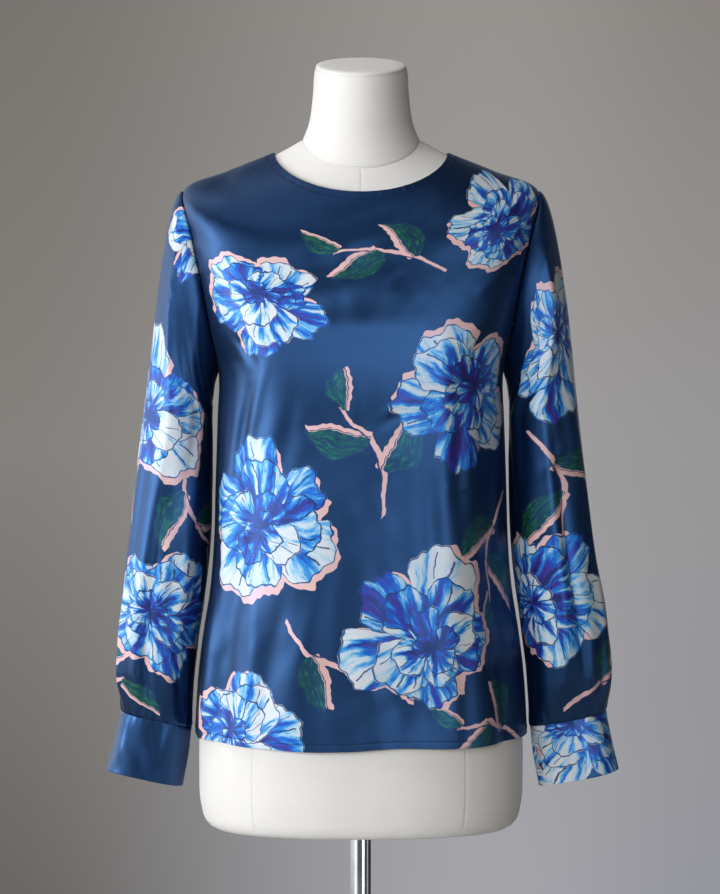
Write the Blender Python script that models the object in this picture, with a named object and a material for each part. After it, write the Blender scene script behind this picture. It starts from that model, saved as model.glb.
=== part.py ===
"""A satin blouse on a limbless dress form, in metres, +Z up.

The blouse faces -Y and the wearer's left is +X. The origin is the middle of the stand's underside.
Cloth is a closed wall with true seams: front, back, two set-in sleeves, two barrel cuffs, and the
button and loop that close the back neck slit. The form is a body, a neck and a cap on a steel stand.
"""

from collections import namedtuple
from math import pi

import bpy
import numpy as np

for old in list(bpy.data.objects):
    bpy.data.objects.remove(old, do_unlink=True)

MM = 0.001  # every size below is in millimetres, and meshes are made in metres

# ---------------------------------------------------------------- driving sizes
CLOTH = 1.5  # thickness of a cloth wall
SEAM = 0.3  # gap between two pieces at a seam
HEM_HEIGHT = 656  # side of the hem above the floor
BLOUSE_LENGTH = 613.5  # hem to the shoulder's high point, at the side
HEM_WIDTH = 353
WAIST_WIDTH = 307
CHEST_WIDTH = 301  # at the underarm
SHOULDER_WIDTH = 374  # tip to tip
NECK_WIDTH = 184
NECK_DROP = 42.5  # the front neck below the shoulder's high point
ARMHOLE_BOTTOM = 1038
ARMHOLE_TOP = 1229
ARMHOLE_FRONT = 50  # how far the armhole reaches before and behind the side seam
ARMHOLE_BACK = 53
NECK_SLIT = 95  # length of the back neck opening
FORM_BOTTOM = 554
FORM_WIDTH = 344  # at the hips
NECK_CAP_WIDTH = 97
POLE_RADIUS = 11
BASE_RADIUS = 170
CUFF_BUTTON_RADIUS = 5.5
NECK_BUTTON_RADIUS = 4.5
LOOP_RADIUS = 0.6  # of the loop's cord

NECK_POINT = HEM_HEIGHT + BLOUSE_LENGTH

# One row for each ring of a torso: its station along the panel, its height at the sides, centre
# front and centre back, its half width, its reach to the front and back, how square it is (2 is an
# ellipse), and the power with which its height falls away from the sides.
Ring = namedtuple("Ring", "station z_side z_front z_back half front back square drop")
BLOUSE_RINGS = [
    Ring(0, HEM_HEIGHT, 649, 650, HEM_WIDTH / 2, 131, 131, 2.20, 1.6),  # hem
    Ring(44, 700, 697, 698, 174.3, 130, 131, 2.20, 1.6),  # hip
    Ring(82, 735, 733, 733, 171.0, 129, 129, 2.20, 1.6),
    Ring(115, 768, 767, 767, 166.5, 128, 126, 2.22, 1.6),
    Ring(152, 805, 805, 805, 160.5, 127, 121, 2.24, 1.6),
    Ring(211, 864, 864, 864, 155.5, 126, 114, 2.26, 1.6),
    Ring(281, 934, 934, 934, WAIST_WIDTH / 2, 127, 109, 2.28, 1.6),  # waist
    Ring(337, 990, 988, 990, 151.5, 131, 109, 2.30, 1.6),
    Ring(385, ARMHOLE_BOTTOM, 1034, 1038, CHEST_WIDTH / 2, 134, 111, 2.36, 1.6),  # underarm
    Ring(438, 1088, 1078, 1087, 163.0, 129, 113, 2.50, 1.6),
    Ring(490, 1138, 1117, 1133, 174.0, 121, 112, 2.60, 1.6),
    Ring(545, 1189, 1149, 1176, 183.5, 112, 105, 2.58, 1.6),
    Ring(589, ARMHOLE_TOP, 1178, 1208, SHOULDER_WIDTH / 2, 104, 94, 2.45, 1.6),  # shoulder tip
    Ring(640, 1250, 1203, 1232, 141.0, 95, 80, 2.22, 1.45),
    Ring(690, NECK_POINT, NECK_POINT - NECK_DROP, 1253, NECK_WIDTH / 2, 85, 66, 2.05, 1.2),  # neck
]
UNDERARM_STATION = 385
TIP_STATION = 589
NECK_STATION = 690

# The dress form, from its lower edge to the neck seam, in the same columns.
FORM_RINGS = [
    Ring(0, FORM_BOTTOM, FORM_BOTTOM, FORM_BOTTOM, 146, 92, 92, 2.35, 1.6),
    Ring(9, 556, 556, 556, 157, 101, 101, 2.33, 1.6),
    Ring(20, 563, 563, 563, 165, 108, 108, 2.32, 1.6),
    Ring(38, 577, 577, 577, 169.5, 112, 113, 2.30, 1.6),
    Ring(85, 620, 620, 620, FORM_WIDTH / 2, 114, 118, 2.28, 1.6),  # hip
    Ring(135, 670, 670, 670, 171.0, 114, 119, 2.25, 1.6),
    Ring(190, 725, 725, 725, 166.0, 112, 116, 2.22, 1.6),
    Ring(240, 775, 775, 775, 157.0, 105, 108, 2.20, 1.6),
    Ring(300, 835, 835, 835, 137.0, 91, 92, 2.15, 1.6),
    Ring(350, 885, 885, 885, 125.0, 84, 82, 2.12, 1.6),  # waist
    Ring(410, 945, 945, 945, 130.0, 98, 87, 2.15, 1.6),
    Ring(465, 1000, 998, 1000, 139.0, 118, 96, 2.20, 1.6),
    Ring(508, 1043, 1038, 1043, 144.0, 125, 102, 2.28, 1.6),  # bust
    Ring(560, 1092, 1080, 1091, 155.0, 120, 106, 2.42, 1.6),
    Ring(610, 1138, 1114, 1133, 164.0, 112, 105, 2.52, 1.6),
    Ring(662, 1184, 1143, 1170, 172.0, 103, 98, 2.50, 1.6),
    Ring(703, 1223, 1170, 1200, 172.5, 96, 87, 2.38, 1.6),  # shoulder end
    Ring(752, 1249.9, 1199.5, 1228.5, 136.0, 88, 74, 2.20, 1.5),
    Ring(802, 1267.1, 1223.5, 1251.5, 90.0, 77, 61, 2.08, 1.25),
    Ring(835, 1282, 1251, 1277, 62.0, 57, 50, 2.02, 1.1),  # neck seam
]
NECK_RINGS = [
    Ring(0, 1282.5, 1251.5, 1277.5, 61.6, 56.6, 49.6, 2.02, 1.1),  # neck seam
    Ring(16, 1298, 1273, 1295, 55.5, 51.5, 46.5, 2.0, 1.1),
    Ring(47, 1330.5, 1313.5, 1335, 51.8, 52, 45, 2.0, 1.1),
    Ring(70, 1355.5, 1344.5, 1364, 50.0, 53, 43.5, 2.0, 1.0),
    Ring(76, 1361, 1350, 1371.5, NECK_CAP_WIDTH / 2, 52.5, 43, 2.0, 1.0),  # cap's rim
]

# One row for each large fold: the angle from centre front at its lower and upper end (+ is the
# wearer's left), the half angle that it spans, the stations where it ends, and how far it stands
# out (+) or in (-).
Fold = namedtuple("Fold", "low_angle high_angle spread low high rise")
BODY_FOLDS = [
    Fold(-72, -52, 6, -60, 400, 5.0),  # ridge that falls from the right bust
    Fold(-60, -44, 6, -80, 380, -4.0),
    Fold(-20, -14, 9, -90, 330, 3.0),
    Fold(12, 10, 8, -90, 300, -4.0),
    Fold(44, 40, 8, -60, 360, 4.0),  # ridge that falls from the left bust
    Fold(62, 56, 7, -60, 380, -5.0),
    Fold(118, 128, 8, -80, 420, -5.0),  # the back's folds, from the shoulder blades
    Fold(138, 142, 8, -80, 430, 5.0),
    Fold(178, 180, 9, -80, 380, -5.0),
    Fold(-140, -144, 8, -80, 430, 5.0),
    Fold(-118, -126, 8, -80, 400, -5.0),
]
BUST_ANGLE = 36  # the two bust points, either side of centre front
BUST_STATION = 392
BUST_RISE = 5

# One row for each ring of a sleeve: its height at the body side and at the outer side, how far from
# the middle of the body those two sides lie, and its reach to the front and back. The wearer's left
# sleeve swings further out than the right one.
SleeveRing = namedtuple("SleeveRing", "station z_in z_out x_in out_right out_left front back")
SLEEVE_RINGS = [
    SleeveRing(0, 985, 985, 158.0, 231, 231, 50, 50),  # upper arm
    SleeveRing(70, 915, 915, 158.0, 240, 240, 51, 48),
    SleeveRing(148, 837, 837, 161.8, 249, 250, 50, 45),  # elbow
    SleeveRing(190, 795, 795, 166.8, 254.0, 258, 48, 42),
    SleeveRing(239, 745, 748, 174.0, 257.5, 263, 43, 38),
    SleeveRing(288, 695, 703, 178.5, 257.5, 264, 37, 33),  # the cloth blouses over the cuff
    SleeveRing(320, 661.5, 677.5, 180.0, 253.5, 260, 30.5, 28.5),  # cuff seam
]
CUFF_SEAM_STATION = 320
CUFF_RINGS = [
    SleeveRing(0, 661.0, 677.0, 180.0, 253.5, 260, 30.5, 28.5),
    SleeveRing(32, 629.8, 646.0, 184.5, 262.0, 266.5, 29.0, 27.5),
    SleeveRing(64, 598.5, 615.5, 189.5, 270.5, 273.5, 27.5, 26.5),
]
CUFF_LAP_ANGLE = 115  # where the cuff's inner end starts, at the back
CUFF_LAP = 40  # angle that the two ends share
SLEEVE_FOLDS = [
    Fold(62, 52, 7, 0, 330, 3.5),  # the pressed crease that runs down from the shoulder
    Fold(15, 10, 12, 60, 330, -4.0),
    Fold(-30, -24, 12, 60, 330, 3.0),
    Fold(150, 140, 12, 60, 330, -4.0),
    Fold(205, 215, 12, 40, 330, 3.0),
]

# Grid sizes: columns across half a panel, and rows below, along and above the armhole.
HALF_COLUMNS = 11
ROWS_BELOW = 10
ROWS_ARMHOLE = 10
ROWS_SHOULDER = 4
CAP_ROWS = 6
SLEEVE_ROWS = 11
CUFF_COLUMNS = 26
CUFF_ROWS = 2
FORM_COLUMNS = 32
BUTTON_COLUMNS = 24


# ---------------------------------------------------------------- curves and surfaces
def through(knots, values, at):
    """A smooth curve through the knots: cubic pieces whose slope at a knot is that of its neighbours."""
    knots, values = np.asarray(knots, float), np.asarray(values, float)
    slopes = np.gradient(values, knots)
    i = np.clip(np.searchsorted(knots, at, side="right") - 1, 0, len(knots) - 2)
    gap = knots[i + 1] - knots[i]
    f = (at - knots[i]) / gap
    return (
        values[i] * (1 + 2 * f) * (1 - f) ** 2
        + values[i + 1] * f * f * (3 - 2 * f)
        + gap * slopes[i] * f * (1 - f) ** 2
        - gap * slopes[i + 1] * f * f * (1 - f)
    )


def columns(table, at):
    """Every column of a ring table, read smoothly at these stations."""
    stations = [row.station for row in table]
    return type(table[0])(*(through(stations, column, at) for column in zip(*table)))


def ring_point(table, station, angle):
    """A point of a torso: a ring that is an ellipse made squarer, its front and back halves of their
    own depth, whose height falls from the sides to centre front and centre back."""
    station, angle = np.broadcast_arrays(np.asarray(station, float), np.asarray(angle, float))
    ring = columns(table, station)
    across, along = np.sin(angle), np.cos(angle)
    to_side = np.abs(across) ** (2 / ring.square)
    to_middle = np.abs(along) ** (2 / ring.square)
    is_front = along >= 0
    middle_z = np.where(is_front, ring.z_front, ring.z_back)
    x = np.sign(across) * ring.half * to_side
    y = -np.sign(along) * np.where(is_front, ring.front, ring.back) * to_middle
    z = ring.z_side + (middle_z - ring.z_side) * to_middle**ring.drop
    return np.stack([x, y, z], axis=-1)


def fold_rise(folds, station, angle_deg):
    """How far the folds lift the cloth: each is a soft ridge or trough across, fading at both ends."""
    rise = np.zeros(np.broadcast(station, angle_deg).shape)
    for fold in folds:
        share = np.clip((station - fold.low) / (fold.high - fold.low), 0, 1)
        centre = fold.low_angle + (fold.high_angle - fold.low_angle) * share
        off = (angle_deg - centre + 180) % 360 - 180
        fade = np.sin(pi * np.clip(0.25 + 0.75 * share, 0, 1)) ** 0.8
        rise += fold.rise * fade * np.exp(-((off / fold.spread) ** 2))
    return rise


def blouse_point(station, angle):
    """The blouse's outer face: its ring, lifted along the level outward direction by bust and folds."""
    point = ring_point(BLOUSE_RINGS, station, angle)
    degrees = np.degrees(angle)
    rise = fold_rise(BODY_FOLDS, station, degrees)
    for side in (-1, 1):
        across = (degrees - side * BUST_ANGLE) / 20
        along = (station - BUST_STATION) / 75
        rise = rise + BUST_RISE * np.exp(-(across**2) - along**2)
    outward = point[..., :2] / np.linalg.norm(point[..., :2], axis=-1, keepdims=True)
    point[..., :2] += outward * rise[..., None]
    return point


def outward_normals(surface, station, angle, step=0.01):
    """Unit normals of a surface of station and angle, from small steps each way."""
    along = surface(station + 50 * step, angle) - surface(station - 50 * step, angle)
    around = surface(station, angle + step) - surface(station, angle - step)
    normal = np.cross(around, along)
    return normal / np.linalg.norm(normal, axis=-1, keepdims=True)


# ---------------------------------------------------------------- meshes
def grid_faces(rows, across, closed=False):
    """The quads of a grid of points, row by row. A closed grid joins its last column to its first."""
    last = across if closed else across - 1
    r, c = np.meshgrid(np.arange(rows - 1), np.arange(last), indexing="ij")
    right = (c + 1) % across
    quads = np.stack([r * across + c, r * across + right, (r + 1) * across + right, (r + 1) * across + c], -1)
    return quads.reshape(-1, 4)


def colour_material(name, colour, roughness, metallic=0.0):
    material = bpy.data.materials.new(name)
    material.use_nodes = True
    shader = material.node_tree.nodes["Principled BSDF"]
    shader.inputs["Base Color"].default_value = (*colour, 1.0)
    shader.inputs["Roughness"].default_value = roughness
    shader.inputs["Metallic"].default_value = metallic
    return material


def add_object(name, points, faces, material):
    """One object from points in millimetres."""
    mesh = bpy.data.meshes.new(name)
    mesh.from_pydata((np.asarray(points) * MM).tolist(), [], [[int(i) for i in face] for face in faces])
    mesh.validate()
    mesh.shade_smooth()
    mesh.set_sharp_from_angle(angle=pi / 4)
    mesh.materials.append(material)
    made = bpy.data.objects.new(name, mesh)
    bpy.context.scene.collection.objects.link(made)
    return made


def add_wall(name, points, normals, faces, material):
    """A cloth wall: the outer face, the inner face CLOTH behind it, and a rim along every free edge."""
    faces = np.asarray(faces)
    count = len(points)
    edges = np.concatenate([faces[:, [i, (i + 1) % 4]] for i in range(4)])
    used = {tuple(edge) for edge in edges.tolist()}
    rim = [(b, a, a + count, b + count) for a, b in sorted(used) if (b, a) not in used]
    both = np.concatenate([points, points - CLOTH * normals])
    return add_object(name, both, [*faces, *(faces[:, ::-1] + count), *rim], material)


def add_rings(name, rings, material):
    """A closed solid through rings of points, with a flat fan at each end. The rings rise."""
    rings = np.asarray(rings)
    around = rings.shape[1]
    points = np.concatenate([rings.reshape(-1, 3), [rings[0].mean(0)], [rings[-1].mean(0)]])
    first, last = len(points) - 2, len(points) - 1
    top = (len(rings) - 1) * around
    fans = [(first, (i + 1) % around, i) for i in range(around)]
    fans += [(last, top + i, top + (i + 1) % around) for i in range(around)]
    return add_object(name, points, [*grid_faces(len(rings), around, closed=True), *fans], material)


# ---------------------------------------------------------------- armhole
def armhole_reach(z, reach):
    """The armhole is an oval seen from the side: how far it reaches from the side seam at a height."""
    middle, half = (ARMHOLE_TOP + ARMHOLE_BOTTOM) / 2, (ARMHOLE_TOP - ARMHOLE_BOTTOM) / 2
    return reach * np.sqrt(np.clip(1 - ((z - middle) / half) ** 2, 0, 1))


def armhole_height(points):
    """How high points lie in the armhole, from 0 at the underarm to 1 at the shoulder tip."""
    return (points[:, 2] - ARMHOLE_BOTTOM) / (ARMHOLE_TOP - ARMHOLE_BOTTOM)


ARMHOLE_STEPS = np.arange(ROWS_ARMHOLE + 1) / ROWS_ARMHOLE
ARMHOLE_STATIONS = UNDERARM_STATION + (TIP_STATION - UNDERARM_STATION) * (1 - np.cos(pi * ARMHOLE_STEPS)) / 2


def edge_angle(station, is_front, gap):
    """The angle at which a panel ends, found by halving: at the side or shoulder seam, or where the
    ring meets the armhole. The panel stops gap short of either."""
    low, high = np.zeros_like(station), np.full_like(station, pi / 2)
    reach = ARMHOLE_FRONT if is_front else ARMHOLE_BACK
    for _ in range(40):
        half_way = (low + high) / 2
        point = ring_point(BLOUSE_RINGS, station, half_way if is_front else pi - half_way)
        inside = np.abs(point[:, 1]) > armhole_reach(point[:, 2], reach) + gap
        low, high = np.where(inside, half_way, low), np.where(inside, high, half_way)
    return low


PANEL_STATIONS = np.concatenate([
    np.linspace(0, UNDERARM_STATION, ROWS_BELOW + 1)[:-1],
    ARMHOLE_STATIONS,
    np.linspace(TIP_STATION, NECK_STATION, ROWS_SHOULDER + 1)[1:],
])


# ---------------------------------------------------------------- the blouse's pieces
def add_front(material):
    """The front: one grid from hem to neck, side seam to side seam, wrapped round the body."""
    limit = edge_angle(PANEL_STATIONS, True, SEAM / 2)
    share = np.linspace(-1, 1, 2 * HALF_COLUMNS + 1)
    angle = limit[:, None] * share[None, :]
    station = np.broadcast_to(PANEL_STATIONS[:, None], angle.shape)
    points = blouse_point(station, angle).reshape(-1, 3)
    normals = outward_normals(blouse_point, station, angle).reshape(-1, 3)
    return add_wall("front", points, normals, grid_faces(*angle.shape), material)


def add_back(material):
    """The back: two half grids that share the centre line up to the foot of the neck slit."""
    limit = edge_angle(PANEL_STATIONS, False, SEAM / 2)
    share = np.linspace(0, 1, HALF_COLUMNS + 1)
    slit_half = np.where(PANEL_STATIONS > NECK_STATION - NECK_SLIT, 1.2, 0.0)
    slit_angle = slit_half / columns(BLOUSE_RINGS, PANEL_STATIONS).half
    halves = []
    for side in (1, -1):
        from_back = slit_angle[:, None] + (limit - slit_angle)[:, None] * share[None, :]
        angle = pi - side * from_back
        station = np.broadcast_to(PANEL_STATIONS[:, None], angle.shape)
        normals = outward_normals(blouse_point, station, angle)
        halves.append((blouse_point(station, angle).reshape(-1, 3), normals.reshape(-1, 3)))
    rows, across = len(PANEL_STATIONS), HALF_COLUMNS + 1
    faces_left = grid_faces(rows, across)[:, ::-1]
    other = np.arange(rows * across) + rows * across
    joined = np.flatnonzero(slit_half == 0) * across
    other[joined] = joined
    faces_right = other[grid_faces(rows, across)]
    points, normals = (np.concatenate(pair) for pair in zip(*halves))
    faces = np.concatenate([faces_left, faces_right])
    kept, index = np.unique(faces, return_inverse=True)
    return add_wall("back", points[kept], normals[kept], index.reshape(faces.shape), material)


def armhole_ring():
    """The sleeve's upper edge on the wearer's left, SEAM inside the armhole. It runs from the underarm
    up the front, over the shoulder tip and down the back."""
    steps = ARMHOLE_STATIONS
    front = edge_angle(steps, True, -SEAM / 2)
    back = edge_angle(steps, False, -SEAM / 2)
    front[[0, -1]] = pi / 2
    station = np.concatenate([steps, steps[-2:0:-1]])
    angle = np.concatenate([front, pi - back[-2:0:-1]])
    points = blouse_point(station, angle)
    points[:, 0] += SEAM
    points[:, 2] += SEAM * (1 - 2 * armhole_height(points))
    return points


def sleeve_ring(table, side, station, angle):
    """A point of a sleeve or cuff, as if on the wearer's left: an ellipse whose body side and outer
    side have their own heights. Angle 0 faces front, 90 degrees is the outer side."""
    ring = columns(table, station)
    x_out = ring.out_left if side > 0 else ring.out_right
    out, fore = np.sin(angle), np.cos(angle)
    x = (x_out + ring.x_in) / 2 + (x_out - ring.x_in) / 2 * out
    y = -np.where(fore >= 0, ring.front, ring.back) * fore
    z = (ring.z_in + ring.z_out) / 2 + (ring.z_out - ring.z_in) / 2 * out
    return np.stack([x, y, z], axis=-1)


def from_middle(table, side, station, angle):
    """The level unit direction from the middle of a sleeve's ring to a point of it."""
    across = sleeve_ring(table, side, station, angle) - sleeve_ring(table, side, station, angle + pi)
    across[..., 2] = 0
    return across / np.linalg.norm(across, axis=-1, keepdims=True)


def sleeve_tube(side, station, angle):
    """The hanging sleeve's outer face, with its folds, which fade into the cuff seam."""
    above_cuff = CUFF_SEAM_STATION - station
    rise = fold_rise(SLEEVE_FOLDS, above_cuff, np.degrees(angle)) * np.clip(above_cuff / 40, 0, 1)
    outward = from_middle(SLEEVE_RINGS, side, station, angle)
    return sleeve_ring(SLEEVE_RINGS, side, station, angle) + outward * rise[..., None]


def sleeve_grid(side):
    """The sleeve's points, row by row from the armhole to the cuff. Each column leaves the armhole's
    edge outwards, bends over the cap and comes down into the tube, on a cubic curve with one handle
    at each end."""
    start = armhole_ring()
    lengths = np.linalg.norm(np.diff(start, axis=0, append=start[:1]), axis=1)
    share = np.concatenate([[0], np.cumsum(lengths)[:-1]]) / lengths.sum()
    angle = 2 * pi * share - pi / 2  # from the body side, round by the front
    end = sleeve_tube(side, np.zeros(len(start)), angle)
    height = armhole_height(start)
    belly = np.sqrt(np.clip(4 * height * (1 - height), 0, 1))
    leave = np.stack([6 + 11 * height, -13 * np.cos(angle) * belly, -14 + 12 * height], axis=-1)
    arrive = np.stack([-17 * height, 0 * height, 18 + 127 * height], axis=-1)
    rows = [
        start * (1 - f) ** 3
        + (start + leave) * 3 * f * (1 - f) ** 2
        + (end + arrive) * 3 * f * f * (1 - f)
        + end * f**3
        for f in np.arange(CAP_ROWS) / CAP_ROWS
    ]
    for station in np.linspace(0, CUFF_SEAM_STATION, SLEEVE_ROWS + 1):
        rows.append(sleeve_tube(side, np.full(len(start), station), angle))
    return np.stack(rows)


def add_side_wall(name, side, points, normals, faces, material):
    """A wall from a grid that was worked out for the wearer's left, mirrored for the right."""
    mirror = np.array([side, 1, 1])
    points, normals = points.reshape(-1, 3) * mirror, normals.reshape(-1, 3) * mirror
    return add_wall(name, points, normals, faces[:, ::-side], material)


def add_sleeve(name, side, material):
    """A set-in sleeve, one closed tube from the armhole to the cuff seam."""
    grid = sleeve_grid(side)
    around = np.roll(grid, -1, axis=1) - np.roll(grid, 1, axis=1)
    normals = np.cross(np.gradient(grid, axis=0), around)
    normals /= np.linalg.norm(normals, axis=-1, keepdims=True)
    faces = grid_faces(*grid.shape[:2], closed=True)
    return add_side_wall(name, side, grid, normals, faces, material)


def cuff_point(side, station, turn):
    """A point of the cuff's outer face. The turn runs from its inner end, once round and on over that
    end, and the cloth climbs by its own thickness before it laps over."""
    lap = np.radians(CUFF_LAP)
    lift = (CLOTH + SEAM) * np.clip((turn - (2 * pi - lap)) / lap, 0, 1)
    angle = np.radians(CUFF_LAP_ANGLE) + turn
    outward = from_middle(CUFF_RINGS, side, station, angle)
    return sleeve_ring(CUFF_RINGS, side, station, angle) + outward * lift[..., None]


def add_cuff(name, side, material):
    """A barrel cuff: one strip whose outer end laps over the inner end at the back."""
    station = np.linspace(0, CUFF_RINGS[-1].station, CUFF_ROWS + 1)[:, None]
    turn = np.linspace(0, 2 * pi + np.radians(CUFF_LAP), CUFF_COLUMNS + 1)[None, :]
    grid = cuff_point(side, *np.broadcast_arrays(station, turn))
    normals = np.cross(np.gradient(grid, axis=0), np.gradient(grid, axis=1))
    normals /= np.linalg.norm(normals, axis=-1, keepdims=True)
    return add_side_wall(name, side, grid, normals, grid_faces(*grid.shape[:2]), material)


# ---------------------------------------------------------------- buttons and loop
def turned(profile, count):
    """Rings of a turned piece, about +Z, from its profile of (radius, height) pairs."""
    angle = np.arange(count) * 2 * pi / count
    unit = np.stack([np.sin(angle), -np.cos(angle), np.zeros(count)], -1)
    return np.stack([unit * radius + [0, 0, height] for radius, height in profile])


def facing(rings, place, normal):
    """Rings turned so that their +Z is the normal, and moved to a place."""
    beside = np.cross([0, 0, 1], normal)
    beside /= np.linalg.norm(beside)
    return place + rings @ np.stack([beside, np.cross(normal, beside), normal])


def add_cuff_button(name, side, material):
    """A flat four-hole button, sewn through, on the cuff's outer end. It lies SEAM off the cloth."""
    radius, thickness, well, hole, hole_place = CUFF_BUTTON_RADIUS, 2.6, 1.0, 0.9, 1.7
    spot_turn = 2 * pi + np.radians(CUFF_LAP) / 2
    spot = np.array([CUFF_RINGS[1].station]), np.array([spot_turn])
    step = 0.05
    place = cuff_point(side, *spot)[0]
    around = cuff_point(side, spot[0], spot[1] + step)[0] - cuff_point(side, spot[0], spot[1] - step)[0]
    down = cuff_point(side, spot[0] + 1, spot[1])[0] - cuff_point(side, spot[0] - 1, spot[1])[0]
    normal = np.cross(down, around) * [side, 1, 1]
    normal /= np.linalg.norm(normal)
    place = place * [side, 1, 1] + normal * SEAM
    profile = [
        (radius - 1.0, 0), (radius - 0.2, 0.6), (radius, 1.3), (radius - 0.3, thickness - 0.3),
        (radius - 0.9, thickness), (radius - 1.6, thickness - 0.3), (radius - 2.2, thickness - well),
    ]
    button = add_rings(name, facing(turned(profile, BUTTON_COLUMNS), place, normal), material)
    for quarter in range(4):
        angle = pi / 4 + quarter * pi / 2
        pin = turned([(hole, -1), (hole, thickness + 1)], 10)
        pin = pin + hole_place * np.array([np.cos(angle), np.sin(angle), 0])
        cutter = add_rings(f"{name}_hole_{quarter}", facing(pin, place, normal), material)
        cutter.hide_render, cutter.display_type = True, "WIRE"
        cut = button.modifiers.new(f"hole_{quarter}", "BOOLEAN")
        cut.operation, cut.object = "DIFFERENCE", cutter
    return button


def back_neck_spot(across, below):
    """A place on the back by the neck, and its normal: how far to the wearer's left of centre back,
    and how far below the neck edge."""
    edge = blouse_point(np.array([NECK_STATION - 10, NECK_STATION]), pi)
    millimetres_a_station = np.linalg.norm(edge[1] - edge[0]) / 10
    station = np.array([NECK_STATION - below / millimetres_a_station])
    angle = pi - across / columns(BLOUSE_RINGS, station).half
    return blouse_point(station, angle)[0], outward_normals(blouse_point, station, angle)[0]


BUTTON_ACROSS, BUTTON_BELOW = -7, 8  # the neck button's place, on the wearer's right of the slit
SHANK_RADIUS, SHANK_HEIGHT = 1.4, 2.1


def add_neck_button(material):
    """A small domed button on a shank, which the loop goes round."""
    place, normal = back_neck_spot(BUTTON_ACROSS, BUTTON_BELOW)
    head = [
        (NECK_BUTTON_RADIUS * np.cos(rise), SHANK_HEIGHT + 0.9 + 2.3 * np.sin(rise))
        for rise in np.radians([0, 25, 50, 72])
    ]
    profile = [(SHANK_RADIUS, SEAM), (SHANK_RADIUS, SHANK_HEIGHT), (NECK_BUTTON_RADIUS - 0.6, SHANK_HEIGHT)]
    return add_rings("button_neck", facing(turned(profile + head, BUTTON_COLUMNS), place, normal), material)


def add_neck_loop(material):
    """A cord loop that starts by the slit on the wearer's left, crosses it and goes round the shank."""
    bend, lift = SHANK_RADIUS + SEAM + LOOP_RADIUS, SEAM + 0.15 + LOOP_RADIUS
    start_across, steps = 6, 9
    turn = np.linspace(pi / 2, 3 * pi / 2, steps)
    round_shank = np.stack([BUTTON_ACROSS + bend * np.cos(turn), BUTTON_BELOW + bend * np.sin(turn)], -1)
    straight = np.linspace(start_across, BUTTON_ACROSS, 6)[:-1]
    side_in = np.stack([straight, np.full(5, BUTTON_BELOW + bend)], -1)
    side_out = np.stack([straight[::-1], np.full(5, BUTTON_BELOW - bend)], -1)
    curve = bpy.data.curves.new("loop_neck", "CURVE")
    curve.dimensions = "3D"
    curve.bevel_depth, curve.bevel_resolution, curve.use_fill_caps = LOOP_RADIUS * MM, 2, True
    route = [
        place + normal * lift
        for place, normal in (back_neck_spot(*spot) for spot in np.concatenate([side_in, round_shank, side_out]))
    ]
    spline = curve.splines.new("POLY")
    spline.points.add(len(route) - 1)
    for point, place in zip(spline.points, route):
        point.co = (*(place * MM), 1)
    curve.materials.append(material)
    bpy.context.scene.collection.objects.link(bpy.data.objects.new("loop_neck", curve))


# ---------------------------------------------------------------- the form and its stand
SOCKET_TOP = FORM_BOTTOM + 60  # the pole's socket in the form


def torso_rings(table):
    """The rings of points of a form piece, one for each row of its table."""
    stations = np.array([row.station for row in table], float)
    angle = np.arange(FORM_COLUMNS) * 2 * pi / FORM_COLUMNS
    return ring_point(table, stations[:, None], angle[None, :])


def add_form_body(material):
    """The form's body, from a rounded lower edge to the neck seam, with the pole's socket below."""
    socket_radius = POLE_RADIUS + SEAM
    socket = turned([(socket_radius, SOCKET_TOP), (socket_radius, FORM_BOTTOM)], FORM_COLUMNS)
    return add_rings("form_body", [*socket, *torso_rings(FORM_RINGS)], material)


def add_stand(material):
    """A straight pole in a round weighted base with a collar."""
    base_top, collar_radius, collar_top, socket_floor = 9, 19, 34, 4
    add_rings("stand_base", turned([
        (BASE_RADIUS - 2, 0), (BASE_RADIUS, 2), (BASE_RADIUS, base_top - 3), (BASE_RADIUS - 3, base_top),
        (collar_radius + 6, base_top + 4), (collar_radius, base_top + 9), (collar_radius, collar_top - 2),
        (collar_radius - 2, collar_top), (POLE_RADIUS + SEAM, collar_top),
        (POLE_RADIUS + SEAM, socket_floor),
    ], FORM_COLUMNS), material)
    add_rings("stand_pole", turned([
        (POLE_RADIUS, socket_floor + SEAM), (POLE_RADIUS, SOCKET_TOP - SEAM),
    ], FORM_COLUMNS), material)


def main():
    satin = colour_material("satin", (0.025, 0.06, 0.15), 0.3)
    linen = colour_material("form_cover", (0.86, 0.85, 0.83), 0.85)
    button_navy = colour_material("button_navy", (0.02, 0.035, 0.09), 0.35)
    steel = colour_material("steel", (0.55, 0.55, 0.56), 0.25, metallic=1.0)
    add_front(satin)
    add_back(satin)
    for name, side in (("left", 1), ("right", -1)):
        add_sleeve(f"sleeve_{name}", side, satin)
        add_cuff(f"cuff_{name}", side, satin)
        add_cuff_button(f"button_cuff_{name}", side, button_navy)
    add_neck_button(button_navy)
    add_neck_loop(satin)
    add_form_body(linen)
    add_rings("form_neck", torso_rings(NECK_RINGS), linen)
    add_stand(steel)


main()
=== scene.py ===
from collections import namedtuple
from functools import partial
from math import pi, radians

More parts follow.
